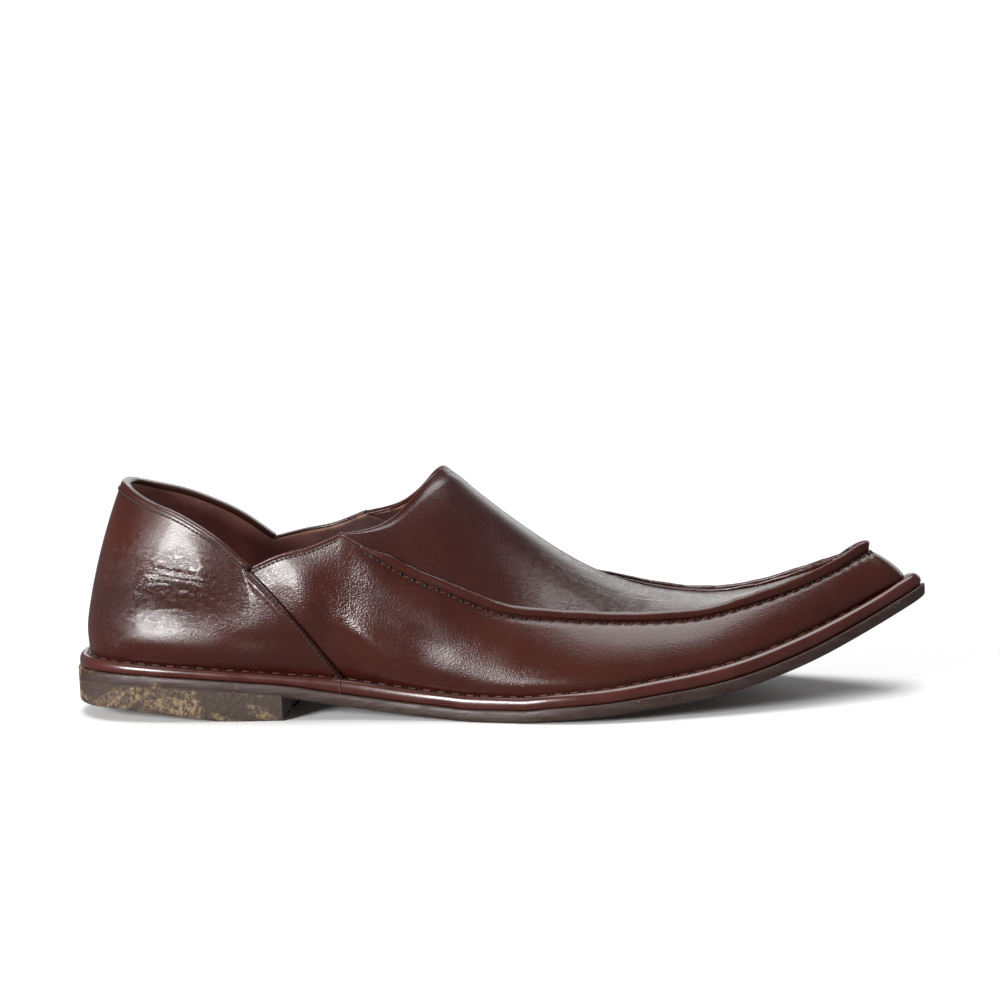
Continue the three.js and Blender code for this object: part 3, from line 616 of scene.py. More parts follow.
def strip(line, levels, rows, section_at):
    """A strip that follows a line. section_at(column, row) gives its outline's (out, up) in metres."""
    frames = frames_along(line, levels)
    ways = [0.0]
    for a, b in zip(line, line[1:]):
        ways.append(ways[-1] + (b - a).length)

    def place_of(column, row):
        out, up = section_at(column, row)
        return line[column] + frames[column][2] * out + frames[column][1] * up

    mesh = sheet(len(line) - 1, rows, place_of, lambda column, row: (ways[column], row / rows))
    weld(mesh)
    close_ends(mesh)
    bmesh.ops.recalc_face_normals(mesh, faces=mesh.faces)
    return mesh


def merged(meshes):
    """One bmesh of several"""
    whole = meshes[0]
    for mesh in meshes[1:]:
        data = bpy.data.meshes.new("part of a piece")
        mesh.to_mesh(data)
        mesh.free()
        whole.from_mesh(data)
        bpy.data.meshes.remove(data)
    return whole


def add_piece(last, name, mesh, finishes, replaced=()):
    """Makes a mesh an object, moved over the origin. finishes are the names of its materials,
    replaced the CAD nodes that it stands in for."""
    bmesh.ops.translate(mesh, verts=mesh.verts, vec=last.move)
    for face in mesh.faces:
        face.smooth = True
    data = bpy.data.meshes.new(name)
    mesh.to_mesh(data)
    mesh.free()
    for finish in finishes:
        data.materials.append(material(finish))
    piece = bpy.data.objects.new(name, data)
    bpy.context.collection.objects.link(piece)
    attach(piece, "root")
    if replaced:
        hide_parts(*replaced)
    return piece


def give_thickness(piece, thickness, inside=0):
    """Thickness inwards from a sheet. inside is how many slots on its inner side's material is."""
    wall = piece.modifiers.new("Thickness", "SOLIDIFY")
    wall.thickness = thickness
    wall.offset = -1
    wall.use_quality_normals = True
    wall.material_offset = inside
    return wall


def evenly(line, levels, pitch, first=0.5):
    """Places at a steady pitch along a line: each one's point, direction and up"""
    spots = []
    walked = 0.0
    wanted = pitch * first
    for (a, level_a), (b, level_b) in zip(zip(line, levels), zip(line[1:], levels[1:])):
        step = (b - a).length
        while step > 0 and wanted <= walked + step:
            share = (wanted - walked) / step
            spots.append((a.lerp(b, share), (b - a).normalized(), level_a.lerp(level_b, share).normalized()))
            wanted += pitch
        walked += step
    return spots


# Threads, and near-black blobs of painted shade for the holes, in metres: long along their line,
# wide across it and thick away from the leather. sink is the share of the thickness that lies
# under the surface, and slant how far they turn sideways for each step along.
STITCHES = {
    "moc thread": dict(long=0.0026, wide=0.0007, thick=0.0006, sink=0.20, slant=-0.25),
    "moc hole": dict(long=0.0017, wide=0.0014, thick=0.0006, sink=0.35, slant=0.45),
    "edge thread": dict(long=0.0008, wide=0.0006, thick=0.0004, sink=0.40, slant=0.0),
    "edge hole": dict(long=0.0011, wide=0.0009, thick=0.0004, sink=0.20, slant=0.0),
    "rand thread": dict(long=0.0040, wide=0.0006, thick=0.0004, sink=0.20, slant=0.0),
    "rand hole": dict(long=0.0014, wide=0.0007, thick=0.0003, sink=0.40, slant=0.0),
    "rand joint": dict(long=0.0012, wide=0.0006, thick=0.0005, sink=0.20, slant=0.0),
}


def sew(mesh, kind, spots):
    """A thread, or a blob of painted shade for one of the holes, of one kind on the surface at each spot"""
    row = STITCHES[kind]
    size = Matrix.Diagonal((row["long"] / 2, row["wide"] / 2, row["thick"] / 2, 1))
    for place, along, up in spots:
        out = along.cross(up).normalized()
        way = (along + out * row["slant"]).normalized()
        side = way.cross(up).normalized()
        turn = Matrix((way, side, way.cross(side))).transposed().to_4x4()
        where = Matrix.Translation(place + up * (row["thick"] * (0.5 - row["sink"])))
        bmesh.ops.create_uvsphere(mesh, u_segments=8, v_segments=6, radius=1, matrix=where @ turn @ size)


# Materials

# Where painted shade darkens the lining towards the toe and where the mud ends, in metres from the middle
LINING_PAINTED_SHADE = (-0.090, -0.062)
MUD_ENDS = (-0.084, -0.072)


class Finish:
    """A material's nodes, added one by one"""

    def __init__(self, name):
        self.material = bpy.data.materials.new(name)
        self.material.use_nodes = True
        self.tree = self.material.node_tree
        self.shader = self.tree.nodes["Principled BSDF"]
        self.place = self.add("ShaderNodeTexCoord").outputs["Object"]

    def add(self, kind, links=(), **values):
        """A node with its settings. links gives each socket a value or another node's output."""
        node = self.tree.nodes.new(kind)
        for name, value in values.items():
            setattr(node, name, value)
        for socket, source in dict(links).items():
            if isinstance(source, bpy.types.NodeSocket):
                self.tree.links.new(source, node.inputs[socket])
            else:
                node.inputs[socket].default_value = source
        return node

    def noise(self, scale, detail=3.0, rough=0.5, distortion=0.0, place=None):
        """Noise from 0 to 1, scale in waves per metre"""
        links = {"Vector": place or self.place, "Scale": scale, "Detail": detail, "Roughness": rough,
                 "Distortion": distortion}
        return self.add("ShaderNodeTexNoise", links).outputs["Fac"]

    def cells(self, scale):
        """Distance to the middles of soft cells, scale in cells per metre"""
        links = {"Vector": self.place, "Scale": scale}
        return self.add("ShaderNodeTexVoronoi", links, feature="SMOOTH_F1").outputs["Distance"]

    def stretched(self, *scale):
        """The place on the piece, stretched along X, Y and Z"""
        return self.add("ShaderNodeMapping", {"Vector": self.place, "Scale": scale}).outputs["Vector"]

    def along(self):
        """Place along the shoe, in metres from its middle towards the toe"""
        return self.add("ShaderNodeSeparateXYZ", {"Vector": self.place}).outputs["X"]

    def mark(self, name):
        """How strongly a mark is laid on the mesh, from 0 to 1"""
        return self.add("ShaderNodeAttribute", attribute_name=name).outputs["Fac"]

    def between(self, value, low, high, start=0.0, end=1.0):
        """value from low to high, as start to end, smoothly"""
        links = {"Value": value, "From Min": low, "From Max": high, "To Min": start, "To Max": end}
        return self.add("ShaderNodeMapRange", links, interpolation_type="SMOOTHSTEP").outputs["Result"]

    def sum(self, a, b, operation="ADD", clamp=False):
        return self.add("ShaderNodeMath", {0: a, 1: b}, operation=operation, use_clamp=clamp).outputs[0]

    def times(self, a, b):
        return self.sum(a, b, "MULTIPLY")

    def blend(self, a, b, share):
        """A colour between two others"""
        node = self.add("ShaderNodeMix", data_type="RGBA", blend_type="MIX")
        for index, value in ((6, a), (7, b), (0, share)):
            if isinstance(value, bpy.types.NodeSocket):
                self.tree.links.new(value, node.inputs[index])
            elif index == 0:
                node.inputs[index].default_value = value
            else:
                node.inputs[index].default_value = (*value[:3], 1)
        return node.outputs[2]

    def bump(self, height, depth, normal=None):
        """Relief of a height from 0 to 1, depth in metres"""
        links = {"Height": height, "Distance": depth, "Strength": 1.0}
        if normal is not None:
            links["Normal"] = normal
        return self.add("ShaderNodeBump", links).outputs["Normal"]

    def finish(self, colour, roughness, normal=None, **constants):
        """Joins everything to the shader. constants are set on its own sockets."""
        sockets = {"Base Color": colour, "Roughness": roughness}
        if normal is not None:
            sockets["Normal"] = normal
        for name, source in sockets.items():
            if isinstance(source, bpy.types.NodeSocket):
                self.tree.links.new(source, self.shader.inputs[name])
            else:
                self.shader.inputs[name].default_value = source
        for name, value in constants.items():
            title = "IOR" if name == "ior" else name.replace("_", " ").title()
            self.shader.inputs[title].default_value = value
        return self.material


def colours():
    return bpy.context.scene.mule_colours


def upper_leather(name="Upper leather", apron=False):
    """Polished leather with a fine pebble, darker and redder in places, dusty where marked"""
    tone = colours()
    n = Finish(name)
    base = tone.apron if apron else tone.leather
    patches = n.between(n.noise(30, 3, 0.5, 0.6), 0.2, 0.8)
    fine = n.between(n.noise(420, 3, 0.6), 0.35, 0.7)
    colour = n.blend(tone.leather_dark, base, patches)
    colour = n.blend(colour, base, n.times(fine, 0.5))
    colour = n.blend(colour, tone.leather_dark, n.mark("shade"))
    scuff = n.between(n.noise(2600, 2, 0.7), 0.60, 0.68)
    colour = n.blend(colour, tone.dirt, n.times(scuff, n.mark("dust")))
    pebble = n.cells(1500)
    grain = n.noise(1700, 3, 0.65)
    wrinkle = n.noise(520, 4, 0.6, 1.4, n.stretched(0.5, 0.5, 1.1))
    folds = n.sum(n.sum(wrinkle, 0.5, "SUBTRACT"), 0.0, "ABSOLUTE")
    normal = n.bump(n.times(n.between(folds, 0.0, 0.09), n.mark("wrinkle")), 0.00034)
    normal = n.bump(n.times(pebble, n.sum(n.mark("pebble"), 0.22)), 0.00020, normal)
    normal = n.bump(grain, 0.00008, normal)
    rough = n.between(n.noise(75, 4, 0.6), 0.3, 0.75, 0.20, 0.31)
    rough = n.sum(rough, n.times(n.mark("dust"), 0.3), clamp=True)
    return n.finish(colour, rough, normal, coat_weight=0.15, coat_roughness=0.1, ior=1.45)


def rand_leather():
    """Redder, smoother leather wrapped over the platform"""
    tone = colours()
    n = Finish("Rand leather")
    patches = n.between(n.noise(90, 3, 0.5), 0.3, 0.7)
    colour = n.blend(tone.leather, tone.rand, patches)
    nicks = n.between(n.noise(700, 3, 0.7), 0.68, 0.72)
    colour = n.blend(colour, tone.dirt, n.times(nicks, 0.4))
    normal = n.bump(n.noise(1200, 3, 0.6), 0.00004)
    rough = n.between(patches, 0, 1, 0.24, 0.32)
    return n.finish(colour, rough, normal, coat_weight=0.3, coat_roughness=0.12)


def lining_leather():
    """Plain matt lining, darkened towards the toe by painted shade inside the shoe, and worn pale along its
    edge
    """
    tone = colours()
    n = Finish("Lining leather")
    patches = n.between(n.noise(55, 4, 0.6), 0.35, 0.7)
    colour = n.blend(tone.leather_dark, tone.lining, n.sum(n.times(patches, 0.5), 0.5))
    # Painted shade: the lining darkens from the heel cup towards the toe, deep inside the shoe
    colour = n.blend(colour, tone.leather_dark, n.between(n.along(), *LINING_PAINTED_SHADE, 0.0, 0.95))
    worn = n.between(n.noise(160, 3, 0.6), 0.3, 0.6)
    colour = n.blend(colour, tone.lining_worn, n.times(n.mark("rim"), worn))
    normal = n.bump(n.noise(900, 4, 0.6), 0.0001)
    return n.finish(colour, n.between(patches, 0, 1, 0.5, 0.7), normal, sheen_weight=0.1)


def cut_leather():
    """Raw edge of the leather: fibrous and pale, stained towards the leather's own colour"""
    tone = colours()
    n = Finish("Cut edge")
    stain = n.between(n.noise(210, 4, 0.65), 0.36, 0.66)
    fibre = n.between(n.noise(2400, 3, 0.7), 0.3, 0.7)
    colour = n.blend(tone.leather, tone.cut_edge, stain)
    colour = n.blend(colour, tone.leather_dark, n.times(fibre, 0.35))
    return n.finish(colour, 0.55, n.bump(fibre, 0.00008))


def mud_on_heel(n):
    """Where the heel is caked: broad flakes, and small ones inside them"""
    broad = n.between(n.noise(62, 5, 0.62, 0.6, n.stretched(0.6, 0.6, 1.2)), 0.52, 0.60)
    small = n.between(n.noise(620, 4, 0.72), 0.40, 0.52)
    return n.times(n.times(broad, small), n.between(n.along(), *MUD_ENDS, 1.0, 0.0))


def sole_leather():
    """Stained edge of the outsole, with specks and short scratches"""
    tone = colours()
    n = Finish("Sole leather")
    layers = n.between(n.noise(260, 4, 0.6, 0.3, n.stretched(0.25, 0.25, 1.6)), 0.35, 0.7)
    colour = n.blend(tone.leather_dark, tone.sole, n.sum(n.times(layers, 0.6), 0.4))
    specks = n.between(n.noise(700, 3, 0.75), 0.64, 0.70)
    patches = n.between(n.noise(42, 2, 0.5), 0.45, 0.62)
    colour = n.blend(colour, tone.dirt, n.times(specks, n.sum(n.times(patches, 0.6), 0.15)))
    colour = n.blend(colour, tone.dirt, n.times(mud_on_heel(n), 0.8))
    normal = n.bump(layers, 0.0001, n.bump(n.noise(1500, 3, 0.7), 0.00006))
    return n.finish(colour, n.between(layers, 0, 1, 0.42, 0.6), normal)


def heel_rubber():
    """Dusty heel with caked mud in patches"""
    tone = colours()
    n = Finish("Heel rubber")
    small = n.between(n.noise(520, 4, 0.7), 0.40, 0.62)
    colour = n.blend(tone.leather_dark, tone.heel, n.sum(n.times(small, 0.5), 0.5))
    mud = mud_on_heel(n)
    colour = n.blend(colour, tone.dirt, n.sum(n.times(mud, 0.8), 0.04, clamp=True))
    normal = n.bump(n.sum(small, mud), 0.0002, n.bump(n.noise(1600, 3, 0.7), 0.00008))
    return n.finish(colour, 0.62, normal)


def thread(name, base):
    """Waxed thread, its twist as a fine relief"""
    n = Finish(name)
    worn = n.between(n.noise(300, 2, 0.5), 0.35, 0.65)
    colour = n.blend([value * 0.6 for value in base], base, worn)
    return n.finish(colour, 0.5, n.bump(n.noise(3000, 1, 0.5), 0.0001))


def material(name):
    """A finish by name, made once"""
    makers = {
        "Upper leather": upper_leather,
        "Apron leather": lambda: upper_leather("Apron leather", apron=True),
        "Lining leather": lining_leather,
        "Rand leather": rand_leather,
        "Folded edge": lambda: upper_leather("Folded edge"),
        "Cut edge": cut_leather,
        "Sole leather": sole_leather,
        "Heel rubber": heel_rubber,
        "Dark thread": lambda: thread("Dark thread", colours().thread),
        "Moc thread": lambda: thread("Moc thread", colours().moc_thread),
        # Stitch holes: near-black blobs of painted shade, finished like a thread
        "Stitch hole": lambda: thread("Stitch hole", colours().hole_shade),
    }
    return bpy.data.materials.get(name) or makers[name]()


# Creases and folds of the wall. at and up are the place of the middle in millimetres from the
# back and the ground. long, wide and deep are in millimetres, deep is negative for a trough,
# turn is the slope in degrees, and bend is how far the ends drop below the middle.
CREASES = [
    dict(side=OUTER, at=40, up=57.0, long=58, turn=-10, bend=-1.0, wide=0.9, deep=-0.18),
    dict(side=OUTER, at=42, up=54.2, long=34, turn=-9, bend=-0.5, wide=0.7, deep=-0.10),
    dict(side=OUTER, at=46, up=51.6, long=28, turn=-7, bend=1.0, wide=0.7, deep=-0.10),
    dict(side=OUTER, at=60, up=51.2, long=20, turn=-16, bend=0.5, wide=0.7, deep=-0.10),
    dict(side=OUTER, at=53, up=49.2, long=46, turn=-8, bend=7.0, wide=1.0, deep=-0.19),
    dict(side=OUTER, at=34, up=48.2, long=18, turn=-14, bend=1.0, wide=0.7, deep=-0.10),
    dict(side=OUTER, at=52, up=46.0, long=30, turn=-10, bend=4.0, wide=0.8, deep=-0.11),
    dict(side=OUTER, at=36, up=45.0, long=20, turn=18, bend=1.0, wide=0.7, deep=-0.09),
    dict(side=OUTER, at=66, up=43.5, long=22, turn=-38, bend=1.0, wide=0.8, deep=-0.11),
    dict(side=OUTER, at=47, up=42.6, long=22, turn=-6, bend=2.0, wide=0.7, deep=-0.08),
    dict(side=OUTER, at=57, up=56.0, long=30, turn=96, bend=0.0, wide=6.0, deep=0.55),
    dict(side=OUTER, at=71, up=52.0, long=34, turn=100, bend=0.0, wide=7.0, deep=-0.60),
    dict(side=OUTER, at=46, up=27.0, long=76, turn=-3, bend=1.0, wide=6.0, deep=1.30),
    dict(side=OUTER, at=46, up=42.5, long=64, turn=-5, bend=3.0, wide=6.0, deep=-0.90),
    dict(side=OUTER, at=21, up=61.0, long=16, turn=-5, bend=0.5, wide=1.0, deep=-0.20),
    dict(side=OUTER, at=17, up=34.0, long=14, turn=-8, bend=0.5, wide=1.0, deep=-0.20),
    dict(side=OUTER, at=96, up=47.0, long=34, turn=98, bend=0.0, wide=6.5, deep=1.10),
    dict(side=OUTER, at=112, up=49.0, long=34, turn=98, bend=0.0, wide=8.0, deep=-1.00),
    dict(side=OUTER, at=122, up=27.5, long=46, turn=-37, bend=-2.0, wide=4.8, deep=1.55),
    dict(side=OUTER, at=109, up=31.0, long=36, turn=-50, bend=0.0, wide=5.0, deep=-0.80),
    dict(side=OUTER, at=132, up=34.5, long=50, turn=-37, bend=-2.0, wide=5.5, deep=-1.10),
    dict(side=OUTER, at=152, up=28.0, long=40, turn=-14, bend=0.0, wide=6.0, deep=-0.50),
    dict(side=OUTER, at=156, up=12.0, long=56, turn=-3, bend=-1.0, wide=2.4, deep=0.35),
    dict(side=INNER, at=46, up=54.0, long=40, turn=-7, bend=2.0, wide=1.6, deep=-0.36),
    dict(side=INNER, at=52, up=47.0, long=44, turn=-9, bend=6.0, wide=1.4, deep=-0.36),
    dict(side=INNER, at=44, up=36.0, long=36, turn=2, bend=1.0, wide=6.0, deep=0.50),
    dict(side=INNER, at=128, up=27.0, long=30, turn=-42, bend=-2.0, wide=2.4, deep=0.40),
    dict(side=INNER, at=146, up=24.0, long=26, turn=-58, bend=1.0, wide=1.8, deep=-0.30),
]

# Marks on the leather of the wall: where it is dusty, wrinkled, pebbled or in shade. at, up,
# long and high are in millimetres.
MARKS = [
    dict(mark="wrinkle", side=OUTER, at=46, up=50, long=34, high=11, much=1.0),
    dict(mark="wrinkle", side=OUTER, at=18, up=46, long=10, high=20, much=0.5),
    dict(mark="wrinkle", side=INNER, at=46, up=48, long=34, high=12, much=1.0),
    dict(mark="wrinkle", side=INNER, at=140, up=26, long=20, high=12, much=0.8),
    dict(mark="pebble", side=OUTER, at=106, up=42, long=20, high=14, much=0.7),
    dict(mark="pebble", side=INNER, at=108, up=48, long=26, high=14, much=0.8),
    dict(mark="dust", side=OUTER, at=74, up=28.5, long=8, high=3, much=0.5),
    dict(mark="dust", side=OUTER, at=12, up=30, long=8, high=8, much=0.3),
    dict(mark="shade", side=OUTER, at=46, up=21, long=64, high=7, much=0.8),
    dict(mark="shade", side=OUTER, at=96, up=33, long=16, high=14, much=0.5),
]

def relief(side, x, z):
    """How far the leather stands out of its plain shape, in metres"""
    total = 0.0
    for row in CREASES:
        if row["side"] != side:
            continue
        reach = row["long"] / 2
        dx = x / MILLIMETRE - row["at"]
        dz = z / MILLIMETRE - row["up"]
        if abs(dx) > reach * 1.1 + row["wide"] or abs(dz) > reach + 3 * row["wide"]:
            continue
        turn = math.radians(row["turn"])
        along = (dx * math.cos(turn) + dz * math.sin(turn)) / reach
        across = dz * math.cos(turn) - dx * math.sin(turn) + row["bend"] * along * along
        if abs(along) < 1:
            total += row["deep"] * (1 - along * along) ** 1.5 * math.exp(-(across / row["wide"]) ** 2)
    return total * MILLIMETRE


def relief_left(up):
    """Share of the relief that is left, fading out at the foot and the top edge of the wall"""
    return smoothstep(up, 0.0, 0.06) * (1 - smoothstep(up, 0.96, 1.0))


def mark_at(name, side, x, z):
    """How strong a mark is at a place, from 0 to 1"""
    total = 0.0
    for row in MARKS:
        if row["mark"] == name and row["side"] == side:
            along = (x / MILLIMETRE - row["at"]) / row["long"]
            across = (z / MILLIMETRE - row["up"]) / row["high"]
            total += row["much"] * math.exp(-1.5 * (along ** 2 + across ** 2))
    return min(total, 1.0)


def leather_marks(spot):
    """The marks of a sheet on the wall, from its corners' side and plain place in spot"""
    def marker(name):
        def value(column, row):
            side, _, _, plain = spot(column, row)
            return mark_at(name, side, plain.x, plain.z)
        return value

    return [(name, marker(name)) for name in ("wrinkle", "pebble", "dust", "shade")]


# In metres: how far the lining is worn below the top edge, and the hand stitches' pitch and
# distance below that edge, with the depth and the width of the leather that they draw in
RIM_DEPTH = 0.0018
MOC_PITCH = 0.0049
MOC_INSET = 0.0018
PINCH_DEPTH = 0.00045
PINCH_WIDTH = 0.0011


class WallSheet:
    """Places, UVs and marks of a sheet that lies on the wall"""

    def __init__(self, last, way, rows):
        self.last = last
        self.way = way
        self.rows = rows
        self.plain = {}
        self.ways = [0.0]
        for (side, angle), (next_side, next_angle) in zip(way, way[1:]):
            step = (last.wall(next_side, next_angle, 0.5) - last.wall(side, angle, 0.5)).length
            self.ways.append(self.ways[-1] + step)

    def spot(self, column, row):
        """Side, angle, share of the height and plain place of a corner"""
        key = (column, row)
        if key not in self.plain:
            side, angle = self.way[column]
            up = row / self.rows
            self.plain[key] = (side, angle, up, self.last.wall(side, angle, up))
        return self.plain[key]

    def place(self, column, row):
        side, angle, up, plain = self.spot(column, row)
        normal = self.last.wall_normal(side, angle, up)
        out = relief(side, plain.x, plain.z) * relief_left(up)
        return plain + normal * (out + self.pinch(side, angle, up, column))

    def pinch(self, side, angle, up, column):
        """Leather drawn in at each hand stitch under the raised seam"""
        if angle < RIB_ANGLE or up < 0.5:
            return 0.0
        foot, top = self.last.station(side, angle)[:2]
        below = (top - foot).length * (1 - up)
        turn = math.cos(2 * math.pi * self.ways[column] / MOC_PITCH)
        return -PINCH_DEPTH * math.exp(-((below - MOC_INSET) / PINCH_WIDTH) ** 2) * (0.65 + 0.35 * turn)

    def uv(self, column, row):
        height = (self.spot(column, self.rows)[3] - self.spot(column, 0)[3]).length
        return (self.ways[column], height * row / self.rows)

    def marks(self):
        def rim(column, row):
            side, angle, _, plain = self.spot(column, row)
            top = self.last.top_point(side, angle).z
            return smoothstep(plain.z, top - RIM_DEPTH, top)

        return leather_marks(self.spot) + [("rim", rim)]


def side_wall(last):
    """Wall of the upper all round the shoe"""
    way = way_round(side_angles(back=100, notch=28, front=200))
    rows = 42
    plan = WallSheet(last, way, rows)
    mesh = sheet(len(way) - 1, rows, plan.place, plan.uv, plan.marks())
    weld(mesh)
    piece = add_piece(last, "side_wall", mesh, ["Upper leather", "Lining leather"],
                      ["upper"])
    give_thickness(piece, last.sizes.wall, 1)


# Creases across the apron, in millimetres. at and out place the middle, long reaches to each
# side of it, bend is how far they turn back at APRON_HALF from the middle line, and deep is
# negative for a trough.
APRON_CREASES = [
    dict(at=196, out=-8, long=18, bend=3, wide=2.4, deep=-0.35),
    dict(at=207, out=4, long=22, bend=3, wide=2.8, deep=-0.40),
    dict(at=219, out=-4, long=20, bend=2, wide=2.2, deep=-0.28),
    dict(at=228, out=8, long=16, bend=2, wide=2.0, deep=-0.20),
]
APRON_HALF = 25

# Fine wrinkles of the apron over the toes, at and long in millimetres
APRON_WRINKLES = dict(at=215, long=24, much=0.7)


def apron_relief(x, y):
    """Soft creases of the apron where the foot bends it, in metres"""
    total = 0.0
    for row in APRON_CREASES:
        dx = x / MILLIMETRE - row["at"] + row["bend"] * (y / MILLIMETRE / APRON_HALF) ** 2
        dy = y / MILLIMETRE - row["out"]
        near = max(0.0, 1 - (dy / row["long"]) ** 2)
        total += row["deep"] * near ** 1.5 * math.exp(-(dx / row["wide"]) ** 2)
    return total * MILLIMETRE


def apron(last):
    """Apron inside the raised seam, up to the edge of the throat"""
    way = way_round(spread_to(SEAM_ANGLE, math.pi, 180))
    rows = 30

    def place(column, row):
        side, angle = way[column]
        spot = last.apron(side, angle, row / rows)
        edge = smoothstep(row / rows, 0.0, 0.15)
        return spot + Vector((0, 0, apron_relief(spot.x, spot.y) * edge))

    def uv(column, row):
        spot = last.apron(*way[column], row / rows)
        return (spot.x, spot.y)

    def rim(column, row):
        return smoothstep(row / rows, 0.97, 1.0)

    def wrinkle(column, row):
        spot = last.apron(*way[column], row / rows)
        away = (spot.x / MILLIMETRE - APRON_WRINKLES["at"]) / APRON_WRINKLES["long"]
        return APRON_WRINKLES["much"] * math.exp(-away ** 2)

    mesh = sheet(len(way) - 1, rows, place, uv, [("rim", rim), ("wrinkle", wrinkle)])
    weld(mesh)
    piece = add_piece(last, "apron", mesh, ["Apron leather", "Lining leather"], ["upper"])
    give_thickness(piece, last.sizes.wall, 1)


def rolled(distance, radius):
    """Height share of an edge that is rounded over a radius"""
    left = 1 - min(max(distance / radius, 0.0), 1.0)
    return math.sqrt(1 - left * left)


# In metres: the radius of the back panel's slanting edges, how far in its stitches and those of
# the collar run, the groove that they lie in, and the ridge behind it, which is full at the top
EDGE_RADIUS = 0.0006
COLLAR_INSET = 0.0014
EDGE_INSET = 0.0014
GROOVE_DEPTH = 0.00015
GROOVE_WIDTH = 0.0005
RIDGE_INSET = 0.0031
RIDGE_HEIGHT = 0.0004
RIDGE_WIDTH = 0.0013

# How much the columns of the back panel crowd towards its edges, 1 for not at all, and how far
# apart its two edges lie in its UVs, in metres
EDGE_CROWDING = 1.6
QUARTER_AROUND = 0.25


def quarter_lift(last):
    """How far the back panel's outside stands out of the wall, as a function of the place"""
    sizes = last.sizes

    def lift(side, angle, up):
        edge = last.quarter_edge(up)
        away = (edge - angle) * math.sin(edge) * sizes.length / 2
        groove = GROOVE_DEPTH * math.exp(-((away - EDGE_INSET) / GROOVE_WIDTH) ** 2)
        groove -= RIDGE_HEIGHT * up * math.exp(-((away - RIDGE_INSET) / RIDGE_WIDTH) ** 2)
        thick = (sizes.quarter_thickness + sizes.gap / 2) * rolled(away, EDGE_RADIUS)
        return sizes.gap / 2 + thick - groove

    return lift


def heel_quarter(last):
    """Back panel over the wall, its slanting edges rounded"""
    columns = 270
    rows = 116
    lift = quarter_lift(last)
    plans = {}

    def spot(column, row):
        if (column, row) not in plans:
            share = column / columns
            up = row / rows
            angle = (1 - (1 - abs(1 - 2 * share)) ** EDGE_CROWDING) * last.quarter_edge(up)
            side = INNER if share < 0.5 else OUTER
            plans[column, row] = (side, angle, up, last.wall(side, angle, up))
        return plans[column, row]

    def place(column, row):
        side, angle, up, plain = spot(column, row)
        out = relief(side, plain.x, plain.z) * relief_left(up)
        return plain + last.wall_normal(side, angle, up) * (out + lift(side, angle, up))

    def uv(column, row):
        return (column / columns * QUARTER_AROUND, spot(column, row)[3].z)

    mesh = sheet(columns, rows, place, uv, leather_marks(spot))
    piece = add_piece(last, "heel_quarter_panel", mesh, ["Upper leather"], ["heel_quarter"])
    give_thickness(piece, last.sizes.quarter_thickness)


# Section of one lip of the raised seam, as shares of its width and height
LIP_SECTION = [
    dict(out=-0.50, up=-0.45),
    dict(out=-0.50, up=0.80),
    dict(out=-0.26, up=1.00),
    dict(out=0.26, up=1.00),
    dict(out=0.50, up=0.80),
    dict(out=0.50, up=-0.45),
]

# Each lip's place across the seam, as a share of its width, and its own width
LIPS = (0.27, -0.27)
LIP_WIDTH = 0.46

# Shares of the wall's height and of the way in on the apron that the seam stands up from
WALL_BESIDE = 0.84
APRON_BESIDE = 0.14

# How squarely a face of a lip has to look up to show the cut edge, 1 for exactly
TOP_FACING = 0.72


def seam_line(last):
    """The line of the raised seam from one side round the tip to the other, and its up"""
    way = way_round(spread_to(RIB_ANGLE, math.pi, 260))
    line = [last.top_point(*spot) for spot in way]
    levels = []
    for (side, angle), place in zip(way, line):
        from_wall = (place - last.wall(side, angle, WALL_BESIDE)).normalized()
        from_apron = (place - last.apron(side, angle, APRON_BESIDE)).normalized()
        levels.append((from_wall + from_apron).normalized())
    return line, levels


def lip_waves(place, lip):
    """A broad and a fine wave of a lip's raw edge, each from about -1 to 1"""
    broad = noise.noise(Vector((place.x * 160, lip * 7.3 + place.y * 90, 1.7)))
    fine = noise.noise(Vector((place.x * 620, lip * 3.1, place.y * 300)))
    return broad, fine


def seam_lip(last, lip, line, levels):
    """One of the two raw edges, from ramp to ramp"""
    sizes = last.sizes
    width = sizes.seam_width * LIP_WIDTH
    count = len(line) - 1
    across = [out * (LIPS[lip] * sizes.seam_width) for _, _, out in frames_along(line, levels)]

    def section_at(column, row):
        part = LIP_SECTION[row % len(LIP_SECTION)]
        broad, fine = lip_waves(line[column], lip)
        out = part["out"] * width + 0.00012 * broad
        if part["up"] < 0:
            return out, part["up"] * sizes.seam_height
        rise = smoothstep(min(column, count - column), 0, 12)
        height = sizes.seam_height * rise * (0.92 + 0.14 * broad + 0.06 * fine - 0.06 * lip)
        return out, part["up"] * height

    beside = [place + step for place, step in zip(line, across)]
    return strip(beside, levels, len(LIP_SECTION), section_at)


def raised_seam(last):
    """The two raw edges of wall and apron, standing side by side and sewn together"""
    line, levels = seam_line(last)
    mesh = merged([seam_lip(last, lip, line, levels) for lip in range(len(LIPS))])
    paint_tops(mesh, line, levels)
    add_piece(last, "raised_seam", mesh, ["Upper leather", "Cut edge"], ["upper"])


def paint_tops(mesh, line, levels):
    """Gives the cut edge to the faces that look up along a seam"""
    for face in mesh.faces:
        middle = face.calc_center_median()
        near = min(range(len(line)), key=lambda i: (line[i] - middle).length_squared)
        if face.normal.dot(levels[near]) > TOP_FACING:
            face.material_index = 1


def below_top(last, way, distance, lift=0.0):
    """A line on the wall at a distance below its top edge, with the wall's normals"""
    line = []
    levels = []
    for side, angle in way:
        foot, top = last.station(side, angle)[:2]
        up = 1 - distance / max((top - foot).length, 0.001)
        normal = last.wall_normal(side, angle, up)
        line.append(last.wall(side, angle, up) + normal * lift)
        levels.append(normal)
    return line, levels


